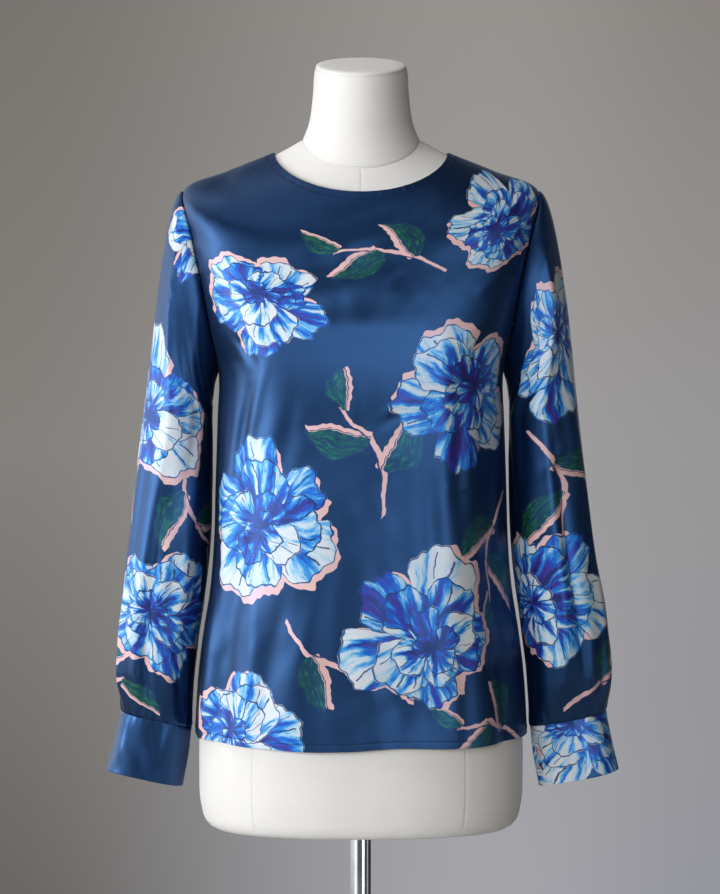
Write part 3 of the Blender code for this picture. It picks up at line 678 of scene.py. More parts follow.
PETAL_TONES = [
    (0.00, (0.014, 0.008, 0.085)),  # violet throat
    (0.14, (0.055, 0.020, 0.28)),
    (0.27, (0.012, 0.045, 0.38)),  # royal blue
    (0.42, (0.016, 0.150, 0.60)),
    (0.53, (0.055, 0.34, 0.74)),
    (0.63, (0.30, 0.58, 0.80)),  # ice blue
    (0.72, (0.56, 0.70, 0.80)),
    (0.88, (0.71, 0.76, 0.79)),  # near white
]
PetalRing = namedtuple("PetalRing", "petals reach notch turn right up lift")
BLOOM_RINGS = [  # from the outermost in: lift makes a ring paler
    PetalRing(5, 1.06, 0.34, 0.3, 0.02, -0.03, 0.06),
    PetalRing(4, 0.84, 0.36, 1.7, -0.07, 0.08, 0.00),
    PetalRing(4, 0.56, 0.40, 0.6, -0.02, 0.16, 0.06),
    PetalRing(3, 0.32, 0.42, 1.4, -0.05, 0.20, -0.14),
]
INK_WIDTH = 0.0105  # half an ink line's, of a bloom's radius
INK_OFF = 0.014  # how far the ink lies inside the paint's edge
PINK_SHIFT = (0.075, -0.060, 0)
# The lines drawn up a petal: how far each is from the petal's middle, where it starts and ends, and
# half its width.
PetalLine = namedtuple("PetalLine", "aside low high width")
PETAL_LINES = [
    PetalLine(0.13, 0.35, 0.93, 0.010),
    PetalLine(-0.17, 0.50, 0.88, 0.008),
    PetalLine(0.29, 0.62, 0.90, 0.007),
]


def bloom_group(petal_ring):
    """An open blossom of four rings of petals, of radius 1. Each petal runs from violet at its foot
    through blue to nearly white at its tip, in brush strokes along its length."""
    n, entry, give = new_group("blossom", "Local Seed", "Colour Cover Ink Pink")

    def petals(number, shift=(0, 0)):
        """One of the rings, moved aside."""
        row = BLOOM_RINGS[number]
        return n.group(petal_ring, {
            "Local": n.vector("SUBTRACT", entry["Local"], (row.right - shift[0], row.up - shift[1], 0)),
            "Petals": row.petals, "Reach": row.reach, "Notch": row.notch,
            "Turn": entry["Seed"] * 1.7 + row.turn, "Seed": entry["Seed"] + 11.0 * number,
        })

    cover, ink, tone = 0.0, 0.0, 0.5
    for number, row in enumerate(BLOOM_RINGS):
        ring = petals(number)
        here, up, chance = ring["Inside"] > 0.0, ring["Up"], ring["Chance"] - 0.5
        stroke_place = n.add("ShaderNodeCombineXYZ", [
            ring["Across"] * 6.0 + ring["Index"] * 5.3, up * 0.9, entry["Seed"] + number * 3.1,
        ])[0]
        strokes = n.noise(stroke_place, 2.2, 5, 0.72)
        patches = n.noise(n.scaled(stroke_place, 0.45), 2.6, 1, 0.5)
        blots = n.noise(n.vector("ADD", stroke_place, (7.1, 2.3, 0)), 1.3, 3, 0.6)
        throat = n.math("SUBTRACT", n.within(blots, 0.48, 0.58), n.within(up, 0.30, 0.75), clamp=True)
        shade = (n.within(up, 0.1, 0.95) * 0.40 + (strokes - 0.5) * 1.45 + (patches - 0.5) * 1.7
                 + chance * 0.50 + throat * -0.42 + (row.lift + 0.17))
        outline = abs(ring["Inside"] - INK_OFF) < INK_WIDTH
        drawn = here * n.most(outline, ring["Gap"] < INK_WIDTH * 0.7)
        across = ring["Across"] + chance * 0.35 + n.sine(up * 5.0) * 0.035
        for line in PETAL_LINES:
            reached = (up > line.low) * (up < line.high)
            drawn = n.most(drawn, reached * (abs(across - line.aside) < line.width))
        tone = n.mix(here, tone, shade)
        ink = n.most(ink * (1.0 - here), drawn)
        cover = n.most(cover, here)
    pink = n.most(*(petals(number, PINK_SHIFT)["Inside"] > 0.0 for number in (0, 1)))
    return give(Colour=n.ramp(tone, PETAL_TONES), Cover=cover, Ink=ink, Pink=pink)


def leaf_group():
    """A leaf along +X, bowed to +Y, with pointed ends. Dark green with brighter strokes, inked at the
    edge and along the midrib, and with a pink crescent on one side."""
    n, entry, give = new_group("leaf", "Local Root Turn Length Width Bow", "Colour Cover Ink Pink")
    x, y, _ = n.split(n.spun(n.vector("SUBTRACT", entry["Local"], entry["Root"]), entry["Turn"]))
    up = n.add("ShaderNodeClamp", [x / entry["Length"]])[0]
    arch = n.sine(up * pi)
    serration = n.sine(x * 46.0) * 0.006
    half = (arch ** 0.8 * entry["Width"] + serration) * (1.18 - up * 0.42)
    aside = y - arch * entry["Bow"]
    inside = half - abs(aside)
    there = arch > 0.05
    edge = abs(inside + 0.018) < 0.007
    rib = (abs(aside - serration * 2.0) < 0.008) * (inside > 0.0)
    crescent = half - abs(aside - entry["Bow"] * -0.75)
    spot = n.add("ShaderNodeCombineXYZ", [x * 3.5, aside * 20.0, entry["Turn"]])[0]
    colour = n.ramp(n.noise(spot, 1.8, 4, 0.7), [
        (0.34, (0.006, 0.010, 0.030)), (0.46, (0.004, 0.026, 0.016)),
        (0.56, (0.008, 0.075, 0.022)), (0.68, (0.035, 0.20, 0.060)),
    ])
    cover, ink, pink = (there * drawn for drawn in (inside > 0.0, n.most(edge, rib), crescent > 0.0))
    return give(Colour=colour, Cover=cover, Ink=ink, Pink=pink)


Leaf = namedtuple("Leaf", "Root Turn Length Width Bow")  # as the leaf's inputs are named
SPRIG_LEAVES = [
    Leaf((0.24, 0.03, 0), -1.02, 0.98, 0.185, 0.12),
    Leaf((-0.22, 0.02, 0), 0.80, 0.92, 0.170, -0.13),
    Leaf((0.78, 0.24, 0), 0.25, 0.66, 0.125, 0.09),
]


def sprig_group(leaf):
    """A bowed pink stem along +X with three leaves, of length 1."""
    n, entry, give = new_group("sprig", "Local", "Colour Cover Ink Pink")
    x, y, _ = n.split(entry["Local"])
    line = y - x * x * 0.42
    on_stem = abs(x - 0.05) < 0.80
    stem = on_stem * (abs(line) < 0.036 - x * 0.012)
    colour, cover, pink = (*PINK, 1), stem, stem
    ink = on_stem * (abs(line - 0.040) < 0.012)
    for row in SPRIG_LEAVES:
        made = n.group(leaf, {"Local": entry["Local"], **row._asdict()})
        colour = n.mix(made["Cover"], colour, made["Colour"], "RGBA")
        ink = n.most(ink * (1.0 - made["Cover"]), made["Ink"])
        cover = n.most(cover, made["Cover"])
        pink = n.most(pink, made["Pink"])
    return give(Colour=colour, Cover=cover, Ink=ink, Pink=pink)


nearer_motif = placing_group()
blossom = bloom_group(petal_group())
sprig = sprig_group(leaf_group())

Motif = namedtuple("Motif", "across up turn size seed", defaults=[0])


def print_group(name, blooms, sprigs):
    """One piece's print. The point is a place on the cut cloth in millimetres. Its nearest blossom and
    nearest sprig are drawn over the ground, in a hand's uneven line."""
    n, entry, give = new_group(name, "Point Ground", "Colour")
    uneven = []
    for scale, detail, reach in ((0.022, 1, 20.0), (0.13, 2, 3.4)):
        wander = n.vector("SUBTRACT", n.noise(entry["Point"], scale, detail, 0.5, 1), (0.5, 0.5, 0.5))
        uneven.append(n.scaled(wander, reach))
    point = n.vector("MULTIPLY", n.vector("ADD", entry["Point"], n.vector("ADD", *uneven)), (1, 1, 0))
    colour = entry["Ground"]
    for table, drawing in ((sprigs, sprig), (blooms, blossom)):
        if not table:
            continue
        found = {"Distance": 9.0, "Local": (9, 9, 0), "Found": 0.0}
        for row in table:
            nearer = n.group(nearer_motif, {
                "Point": point, "Centre": (row.across, row.up, 0), "Turn": radians(row.turn),
                "Size": row.size, "Seed": row.seed, **found,
            })
            found = {key: nearer[key] for key in found}
        seed = {"Seed": found["Found"]} if drawing == blossom else {}
        drawn = n.group(drawing, {"Local": found["Local"], **seed})
        colour = n.mix(drawn["Pink"], colour, (*PINK, 1), "RGBA")
        colour = n.mix(drawn["Cover"], colour, drawn["Colour"], "RGBA")
        colour = n.mix(drawn["Ink"] * 0.93, colour, (*INK, 1), "RGBA")
    return give(Colour=colour)


def satin_material(name, blooms, sprigs, roughness=0.37):
    """Satin with its print. The sheen is the weave's: its floats run up the piece, so highlights
    stretch across it."""
    material, tree, shader = plain_material(
        name, GROUND, roughness,
        **{"IOR": 1.7, "Specular IOR Level": 1.0, "Specular Tint": (0.15, 0.405, 1.0, 1), "Anisotropic": 0.6,
           "Sheen Weight": 0.03, "Sheen Roughness": 0.3, "Sheen Tint": (0.45, 0.65, 1.0, 1)},
    )
    point = tree.scaled(tree.add("ShaderNodeUVMap", uv_map="flat")[0], 1 / MM)
    slub = tree.noise(tree.vector("MULTIPLY", point, (0.04, 1.6, 1)), 1.0, 3, 0.6)
    cloud = tree.noise(point, 0.012, 3, 0.5)
    low, high = ([value * share for value in GROUND] for share in (0.80, 1.22))
    ground = tree.ramp(slub * 0.45 + cloud * 0.55, [(0.3, low), (0.7, high)])
    colour = tree.group(print_group(f"{name}_print", blooms, sprigs), {"Point": point, "Ground": ground})[0]
    x, y, _ = tree.split(point)
    floats = tree.sine(y * (2 * pi / 0.9))
    twill = tree.sine(x * (2 * pi / 1.7) + y * 2.1)
    weft = tree.add("ShaderNodeTangent", direction_type="UV_MAP", uv_map="flat")[0]
    height = floats * 0.25 + twill * 0.12 + slub * 1.2
    link_surface(tree, shader, {"Base Color": colour, "Tangent": weft}, height, 0.25, 0.00008)
    return material


# ============================================================ front
# One piece of satin, cut on the fold, with a round neck. The side, shoulder and armhole edges are
# sewn with their allowances turned in. The hem and the neck are turned in and topstitched.
BLOUSE_RINGS = [
    Ring(0, 656, 649, 650, 176.5, 131, 131, 2.20),  # hem
    Ring(44, 700, 697, 698, 174.3, 130, 131, 2.20),  # hip
    Ring(82, 735, 733, 733, 171.0, 129, 129, 2.20),
    Ring(115, 768, 767, 767, 166.5, 128, 126, 2.22),
    Ring(152, 805, 805, 805, 160.5, 127, 121, 2.24),
    Ring(211, 864, 864, 864, 155.5, 126, 114, 2.26),
    Ring(281, 934, 934, 934, 153.5, 127, 109, 2.28),  # waist
    Ring(337, 990, 988, 990, 151.5, 131, 109, 2.30),
    Ring(385, 1038, 1034, 1038, 150.5, 134, 111, 2.36),  # underarm
    Ring(438, 1088, 1078, 1087, 163.0, 129, 113, 2.50),
    Ring(490, 1138, 1117, 1133, 174.0, 121, 112, 2.60),
    Ring(545, 1189, 1149, 1176, 183.5, 112, 105, 2.58),
    Ring(589, 1229, 1178, 1208, 187.0, 104, 94, 2.45),  # shoulder tip
    Ring(640, 1250, 1203, 1232, 141.0, 95, 80, 2.22, 1.45),
    Ring(690, 1269.5, 1227, 1253, 92.0, 85, 66, 2.05, 1.2),  # neck
]
UNDERARM_STATION = 385
TIP_STATION = 589
NECK_STATION = 690
ARMHOLE_BOTTOM, ARMHOLE_TOP = 1038, 1229
ARMHOLE_FRONT, ARMHOLE_BACK = 50, 53  # how far it reaches before and behind the side seam
SEAM = 0.3  # the gap between two pieces in the model

# The large folds, as in the model: the angle from centre front at a fold's lower and upper end (+ is
# the wearer's left), the half angle that it spans, the stations where it ends, and its rise.
Fold = namedtuple("Fold", "low_angle high_angle spread low high rise")
BODY_FOLDS = [
    Fold(-72, -52, 6, -60, 400, 5.0),
    Fold(-60, -44, 6, -80, 380, -4.0),
    Fold(-20, -14, 9, -90, 330, 3.0),
    Fold(12, 10, 8, -90, 300, -4.0),
    Fold(44, 40, 8, -60, 360, 4.0),
    Fold(62, 56, 7, -60, 380, -5.0),
    Fold(118, 128, 8, -80, 420, -5.0),
    Fold(138, 142, 8, -80, 430, 5.0),
    Fold(178, 180, 9, -80, 380, -5.0),
    Fold(-140, -144, 8, -80, 430, 5.0),
    Fold(-118, -126, 8, -80, 400, -5.0),
]
BUST_ANGLE, BUST_SPREAD, BUST_STATION, BUST_RISE = 36, 20, 392, 5
BUST_ABOVE, BUST_BELOW = 75, 180  # how far the bust's swell reaches up and down
# The hem rises a little, left of the middle.
HEM_WAVE, HEM_WAVE_MIDDLE, HEM_WAVE_REACH, HEM_WAVE_HEIGHT = 3.5, 40, 45, 50
# The front hangs nearly plumb from the bust, and turns in a little at the hem: stations and rises.
HANG = [(0, -5), (44, -2.5), (82, 0.5), (115, 3), (152, 5), (211, 7), (281, 6.3), (337, 3), (385, 0.3),
        (420, 0)]


def fold_rise(folds, station, angle_deg):
    """How far the folds lift the cloth: each is a soft ridge or trough across, fading at both ends."""
    rise = np.zeros(np.broadcast(station, angle_deg).shape)
    for fold in folds:
        share = clipped((station - fold.low) / (fold.high - fold.low))
        centre = fold.low_angle + (fold.high_angle - fold.low_angle) * share
        off = (angle_deg - centre + 180) % 360 - 180
        fade = np.sin(pi * clipped(0.25 + 0.75 * share)) ** 0.8
        rise += fold.rise * fade * bell(off / fold.spread)
    return rise


def blouse_point(station, angle):
    """The cloth's face before its creases: its ring, lifted along the level outward direction by the
    bust and the large folds."""
    point = ring_point(BLOUSE_RINGS, station, angle)
    degrees = np.degrees(angle)
    rise = fold_rise(BODY_FOLDS, station, degrees)
    for side in (-1, 1):
        across = (degrees - side * BUST_ANGLE) / BUST_SPREAD
        along = (station - BUST_STATION) / np.where(station < BUST_STATION, BUST_BELOW, BUST_ABOVE)
        rise = rise + BUST_RISE * np.exp(-(across**2) - along**2)
    hang = through(*zip(*HANG), np.clip(station, HANG[0][0], HANG[-1][0]))
    rise = rise + hang * clipped(np.cos(angle)) ** 1.5
    point[..., :2] += unit(point[..., :2]) * rise[..., None]
    beside = (point[..., 0] - HEM_WAVE_MIDDLE) / HEM_WAVE_REACH
    fade = np.exp(-(beside**2) - np.clip(station, 0, None) / HEM_WAVE_HEIGHT)
    point[..., 2] += HEM_WAVE * fade * (np.cos(angle) > 0)
    return point


def outward_normals(surface, station, angle):
    """Unit normals of a surface of station and angle, from small steps each way."""
    along = surface(station + 0.5, angle) - surface(station - 0.5, angle)
    around = surface(station, angle + 0.01) - surface(station, angle - 0.01)
    return unit(np.cross(around, along))


def armhole_reach(z, reach):
    """The armhole is an oval seen from the side: how far it reaches from the side seam at a height."""
    middle, half = (ARMHOLE_TOP + ARMHOLE_BOTTOM) / 2, (ARMHOLE_TOP - ARMHOLE_BOTTOM) / 2
    return reach * np.sqrt(clipped(1 - ((z - middle) / half) ** 2))


def edge_angle(station, is_front, gap):
    """The angle at which a panel ends, found by halving: at the side or shoulder seam, or where the
    ring meets the armhole."""
    low, high = np.zeros_like(station), np.full_like(station, pi / 2)
    reach = ARMHOLE_FRONT if is_front else ARMHOLE_BACK
    for _ in range(40):
        half_way = (low + high) / 2
        point = ring_point(BLOUSE_RINGS, station, half_way if is_front else pi - half_way)
        inside = np.abs(point[:, 1]) > armhole_reach(point[:, 2], reach) + gap
        low, high = np.where(inside, half_way, low), np.where(inside, high, half_way)
    return low


ROLL_RADIUS = 0.5  # of a turned edge
HEM_DEPTH = 9
STITCH_LINE = 6.5  # from the hem
NECK_STITCH_LINE = 8.6  # from the neck edge, along the cloth
CLOTH = 0.35  # thickness of the satin
SEAM_DIP, SEAM_DIP_REACH = 0.75, 1.1  # how far the cloth dips to a seam, and from how far off
GROOVE_DEPTH, GROOVE_HALF_WIDTH = 0.07, 0.8  # of the line of topstitches at the hem


def turned_edge(depth):
    """The turned-in edge, from its raw end to the face: pairs of how far past the edge a row lies and
    how far it is set back from the face. The fold is a half circle."""
    sweep = np.radians([-60, -30, 0, 30, 60])
    fold = [(ROLL_RADIUS * np.cos(a), ROLL_RADIUS * (np.sin(a) - 1)) for a in sweep]
    return np.array([(-depth * share, -2 * ROLL_RADIUS) for share in (1, 0.7, 0.4, 0.15, 0)] + fold)


ARMHOLE_ROWS = 60
ARMHOLE_STATIONS = UNDERARM_STATION + (TIP_STATION - UNDERARM_STATION) * (
    1 - np.cos(pi * np.arange(ARMHOLE_ROWS + 1) / ARMHOLE_ROWS)
) / 2
EDGE = turned_edge(HEM_DEPTH)
FACE_STATIONS = np.concatenate([
    steps_with(0, UNDERARM_STATION, 3.4, 0, STITCH_LINE, near=(-2, -1.1, -0.4, 0, 0.4, 1.1, 2)),
    ARMHOLE_STATIONS[1:],
    steps_with(TIP_STATION, NECK_STATION, 2.9, NECK_STATION - STITCH_LINE, NECK_STATION,
               near=(-2, -1.1, -0.4, 0, 0.4, 1.1, 2))[1:],
])
ROW_STATIONS = np.concatenate([-EDGE[:, 0], FACE_STATIONS, NECK_STATION + EDGE[::-1, 0]])
ROW_SETBACK = np.concatenate([EDGE[:, 1], 0 * FACE_STATIONS, EDGE[::-1, 1]])

TUCKS = np.array([-4.5, -2.5, -1.2, -0.5])  # how deep a seam's allowance is turned in, column by column

# One row for each crease: where it starts and ends on the flat cloth, across from the middle and up
# from the edge, how far it bows aside, its half width, and its rise (+) or depth (-).
Crease = namedtuple("Crease", "across up to_across to_up bow width rise")


def crease_table(*rows):
    return [Crease(*row) for row in rows]


FRONT_CREASES = crease_table(
    # the cloth bends from the chest's slope to the plumb front
    (-104, 446, 108, 450, -4, 24, 1.0),
    (88, 500, 94, -70, 2, 17, 3.4),  # the front is flat as far as here, and turns
    # soft upright ripples below the neck
    (-50, 590, -46, 440, 3, 8, 0.9), (-32, 600, -30, 430, -2, 7, -0.9),
    (-14, 600, -14, 436, 3, 7, 1.0), (4, 598, 2, 450, 2, 7, -0.8), (22, 596, 20, 460, -3, 8, 0.7),
    (46, 590, 42, 480, 3, 9, -0.6),
    # from the right bust down to the side
    (-94, 416, -138, 205, 9, 10, 2.6), (-110, 410, -152, 190, 9, 10, -2.6),
    (-70, 384, -96, 250, -5, 12, -1.6), (-144, 300, -148, 90, 3, 12, 2.0),
    (-160, 380, -170, 160, 4, 11, 1.6), (-168, 250, -172, 60, 3, 10, -1.8),
    # short drag lines between the busts
    (-4, 396, -11, 330, 3, 4, -0.9), (4, 392, -2, 332, 3, 4.5, 0.8),
    (14, 336, 56, 368, -4, 4.5, 1.2), (18, 327, 60, 354, -4, 4.5, -1.1),
    (52, 372, 24, 318, -5, 6, 0.9), (84, 268, 140, 262, -3, 4, 0.7),
    (86, 260, 138, 254, -3, 4, -0.6),
    # upright folds of the left half
    (108, 404, 112, 216, 3, 12, -1.4), (122, 384, 116, 210, 5, 11, 1.7),
    (146, 390, 140, 180, 5, 10, -1.6), (64, 300, 76, 110, -6, 14, -1.9),
    (96, 270, 104, 70, -5, 14, 1.7), (136, 230, 142, 10, -4, 13, -2.0),
    (166, 300, 170, 60, -3, 12, 1.8),
    # broad bands over the lower front
    (-30, 190, -84, -20, 8, 16, 1.9), (-8, 250, -30, -60, 8, 20, -3.2),
    (-74, 180, -112, -16, 6, 14, -1.8), (8, 130, 34, -24, 6, 14, 1.5),
    (30, 210, 62, 10, -8, 15, 1.6), (-116, 170, -132, -18, -4, 13, 1.6),
    (74, 120, 70, -20, 3, 13, -1.8), (100, 80, 102, -20, 2, 12, 1.6),
    (166, 110, 172, -18, 2, 12, -1.4), (-160, 120, -164, -18, 2, 12, -1.3),
    # from the armholes
    (-148, 456, -98, 414, -8, 9, 1.4), (-152, 438, -110, 386, -8, 8, -1.4),
    (-156, 505, -120, 474, -6, 9, 0.9), (148, 454, 96, 416, 8, 9, 1.3),
    (154, 436, 116, 386, 8, 8, -1.4), (154, 508, 118, 482, 5, 9, 0.9),
)


def crease_rise(creases, across, up):
    """How far creases lift the cloth. The lift is a ridge with a slight trough on both sides of it,
    across a line that bows aside, and it swells and fades along that line."""
    rise = np.zeros(np.broadcast(across, up).shape)
    for crease in creases:
        run = np.array([crease.to_across - crease.across, crease.to_up - crease.up])
        length = np.linalg.norm(run)
        right, ahead = across - crease.across, up - crease.up
        along = clipped((right * run[0] + ahead * run[1]) / length**2)
        aside = (right * run[1] - ahead * run[0]) / length - crease.bow * 4 * along * (1 - along)
        share = aside / (crease.width * (0.75 + 0.5 * along))
        rise += crease.rise * np.sin(pi * along) ** 1.5 * (1 - 0.5 * share**2) * bell(share)
    return rise


def soft_swell(across, up, seed, height=0.35, waves=14, lengths=(38, 130), spread=0.5):
    """The cloth's faint unevenness: slow waves in many directions, most of them running up the piece."""
    random = np.random.default_rng(seed)
    swell = np.zeros(np.broadcast(across, up).shape)
    for _ in range(waves):
        length = random.uniform(*lengths)
        heading = random.normal(0, spread)
        phase = random.uniform(0, 2 * pi)
        swell += np.sin(2 * pi * (across * np.cos(heading) + up * np.sin(heading) * 0.6) / length + phase)
    return height * swell / np.sqrt(waves)


def crumple(across, up, seed, height=0.17):
    """Short soft dents from wear, in patches: a finer swell, stronger where a slow one is high."""
    patch = 0.5 + 0.5 * np.tanh(1.5 * soft_swell(across, up, seed + 100, 1.0, 8, (90, 220), 1.5))
    return patch * soft_swell(across, up, seed, height, 22, (17, 46), 1.0)


def seam_dip(distance):
    """How far cloth dips towards a seam, from the distance to it."""
    return -SEAM_DIP * np.exp(-distance / SEAM_DIP_REACH)


def puckers(along, distance, seed, reach=9.0, height=0.28, pitch=11.0):
    """Small uneven gathers that a line of stitches makes, dying away from it."""
    random = np.random.default_rng(seed)
    wave = np.zeros(np.broadcast(along, distance).shape)
    for share in (0.7, 1.0, 1.45):
        wave += np.sin(2 * pi * along / (pitch * share) + random.uniform(0, 2 * pi))
    return height * wave / 2 * bell(distance / reach)


def stitch_groove(up):
    """The groove along the hem's topstitches, from the way up to them."""
    return -GROOVE_DEPTH * bell(up / GROOVE_HALF_WIDTH)


EDGE_FIRM, NECK_FIRM = 22, 26  # how near a sewn edge and the neck the cloth loses its creases
WORN_UP_TO = 260  # the front is more crumpled below this
ROW_RINGS = np.clip(ROW_STATIONS, 0, NECK_STATION)  # the ring whose edge a row has
IN_ARMHOLE = ((ROW_STATIONS > UNDERARM_STATION) & (ROW_STATIONS < TIP_STATION))[:, None]


def panel_surface(angle, measure, creases, swell_seed, pucker_seed, worn=0.0):
    """A body panel's points, its places on the flat cloth and its normals, row by row, from the angle
    of each point. The creases, swells, seams and stitch lines lift it. measure works out, from the way
    along each row, the places across, the distance from the sewn edges and what is turned in there."""
    station = np.broadcast_to(ROW_STATIONS[:, None], angle.shape)
    base = blouse_point(station, angle)
    normals = outward_normals(blouse_point, station, angle)
    across, to_edge, tuck = measure(row_lengths(base))
    from_neck = NECK_STATION - station
    soft = np.clip(to_edge / EDGE_FIRM, 0.12, 1) * clipped(from_neck / NECK_FIRM)
    rise = soft * crease_rise(creases, across, station) + soft * soft_swell(across, station, swell_seed)
    rise += soft * crumple(across, station, swell_seed + 50) * (1 + worn * clipped(1 - station / WORN_UP_TO))
    rise += puckers(station, to_edge, pucker_seed, height=np.where(IN_ARMHOLE, 0.22, 0.12), reach=8.0)
    rise += puckers(across, station - STITCH_LINE / 2, pucker_seed + 1, height=0.16, pitch=13)
    rise += puckers(across, from_neck - STITCH_LINE / 2, pucker_seed + 2, height=0.22, pitch=9, reach=7)
    rise += stitch_groove(station - STITCH_LINE) + seam_dip(to_edge) + ROW_SETBACK[:, None] + tuck
    return base + normals * rise[..., None], np.stack([across, station], axis=-1), normals


HALF_SHARE = np.linspace(0, 1, 82)  # shares of the way from the middle to the edge, closer at the edge
HALF_SHARE = HALF_SHARE + 0.06 * np.sin(pi * HALF_SHARE) * HALF_SHARE
HALF_SHARE = np.unique(np.concatenate([HALF_SHARE, 1 - np.array([0.003, 0.007, 0.013])]))
SHARE = np.concatenate([-np.ones(len(TUCKS)), -HALF_SHARE[::-1], HALF_SHARE[1:], np.ones(len(TUCKS))])
COLUMN_TUCK = np.concatenate([TUCKS, np.zeros(2 * len(HALF_SHARE) - 1), TUCKS[::-1]])

front_satin = satin_material(
    "front_satin",
    [Motif(-104, 478, 10, 76, 1), Motif(112, 364, 70, 82, 2), Motif(-108, 240, 200, 84, 3),
     Motif(64, 118, 140, 84, 4), Motif(-134, 8, 320, 72, 5), Motif(158, 586, 250, 66, 7)],
    [Motif(40, 566, 200, 76), Motif(20, 300, 250, 78), Motif(-38, 92, 30, 76),
     Motif(158, 214, 110, 74), Motif(158, 20, 200, 66)],
)

front_angle = edge_angle(ROW_RINGS, True, 0)[:, None] * SHARE


def measure_front(along):
    """Both edges of the front are sewn, and its middle is at angle 0."""
    across = along - np.array([[np.interp(0, *row)] for row in zip(front_angle, along)])
    return across, np.minimum(along, along[:, -1:] - along), COLUMN_TUCK


front_points, front_flat, front_normals = panel_surface(
    front_angle, measure_front, FRONT_CREASES, 3, 3, worn=0.9
)
front = add_mesh("front_panel", front_points, grid_faces(*front_points.shape[:2]), front_satin, front_flat)


def hang_cloth(piece, node):
    """Gives a sheet of satin its thickness, behind its face, and puts it in its node's place."""
    solid = piece.modifiers.new("thickness", "SOLIDIFY")
    solid.thickness, solid.offset, solid.use_rim = CLOTH * MM, -1, True
    place_piece(piece, node)


hang_cloth(front, "front")

THREAD = 1.0  # thickness of a sewing thread
THREAD_RISE = 0.15  # of its axis above the cloth
STITCH, STITCH_GAP = 1.35, 1.45


def thread_rods(starts, ends, up, thickness=THREAD):
    """Stitches as bowed rods: each runs from its start to its end, thin and sunk at both and thick and
    raised between them. The points of a ring about the rod lie evenly round its axis."""
    share = np.array([0, 0.12, 0.5, 0.88, 1])
    radius = np.array([0.25, 0.85, 1, 0.85, 0.25]) * thickness / 2
    lift = np.array([-1.2, -0.1, 0.1, -0.1, -1.2]) * thickness / 2 + THREAD_RISE
    turn = np.arange(6) * pi / 3
    axis = ends - starts
    side = unit(np.cross(axis, up))
    centre = starts[:, None] + axis[:, None] * share[:, None] + up[:, None] * lift[:, None]
    round_axis = side[:, None] * np.cos(turn)[:, None] + up[:, None] * np.sin(turn)[:, None]
    points = centre[:, :, None] + round_axis[:, None] * radius[:, None, None]
    one = grid_faces(len(share), len(turn), closed=True)
    faces = one + points[0, ..., 0].size * np.arange(len(starts))[:, None, None]
    return points, faces.reshape(-1, 4)


def stitch_row(points, normals, stitch=STITCH, gap=STITCH_GAP):
    """The starts, ends and up directions of stitches at an even pitch along a line of points."""
    along = row_lengths(points[None])[0]
    first = np.arange(gap, along[-1] - stitch - gap, stitch + gap)

    def read(field, off):
        return np.stack([np.interp(first + off, along, column) for column in field.T], -1)

    return read(points, 0), read(points, stitch), unit(read(normals, stitch / 2))


def add_thread(name, rows, material, thickness=THREAD):
    """One object from several rows of stitches."""
    starts, ends, up = (np.concatenate(part) for part in zip(*rows))
    thread = add_mesh(name, *thread_rods(starts, ends, up, thickness=thickness), material)
    place_piece(thread)
    return thread


def thread_material(name, colour):
    """Spun thread: a fine twist along the stitch, matt."""
    material, tree, shader = plain_material(name, colour, 0.6, **{"Specular IOR Level": 0.4})
    twist = tree.noise(tree.place(), 2600, 2, 0.5)
    low, high = ([value * share for value in colour] for share in (0.6, 1.5))
    shade = tree.ramp(twist, [(0.35, low), (0.65, high)])
    link_surface(tree, shader, {"Base Color": shade}, twist, 0.5, 0.00006)
    return material


navy_thread = thread_material("navy_thread", (0.0012, 0.0026, 0.009))
FACE_ROWS = np.flatnonzero(ROW_SETBACK == 0)
HEM_ROW, NECK_ROW = (
    FACE_ROWS[np.argmin(np.abs(ROW_STATIONS[FACE_ROWS] - station))]
    for station in (STITCH_LINE, NECK_STATION - STITCH_LINE)
)


def neck_stitches(points, normals):
    """The stitches round a panel's neck, at an even way down the cloth from the edge."""
    fields = points[FACE_ROWS[::-1]], normals[FACE_ROWS[::-1]]
    reach = column_lengths(fields[0])
    row = np.array([np.interp(NECK_STITCH_LINE, way, np.arange(len(way))) for way in reach.T])
    above, column = row.astype(int), np.arange(len(row))
    share = (row - above)[:, None]
    lines = (field[above, column] * (1 - share) + field[above + 1, column] * share for field in fields)
    return stitch_row(*lines)


def edge_stitches(points, normals, first):
    """The rows of stitches along a panel's hem and neck, from its first column to the sewn edge."""
    inner = slice(first, -len(TUCKS) - 1)
    return [stitch_row(points[HEM_ROW, inner], normals[HEM_ROW, inner]),
            neck_stitches(points[:, inner], normals[:, inner])]


front_rows = edge_stitches(front_points, front_normals, len(TUCKS) + 1)
front_thread = add_thread("front_thread", front_rows, navy_thread)


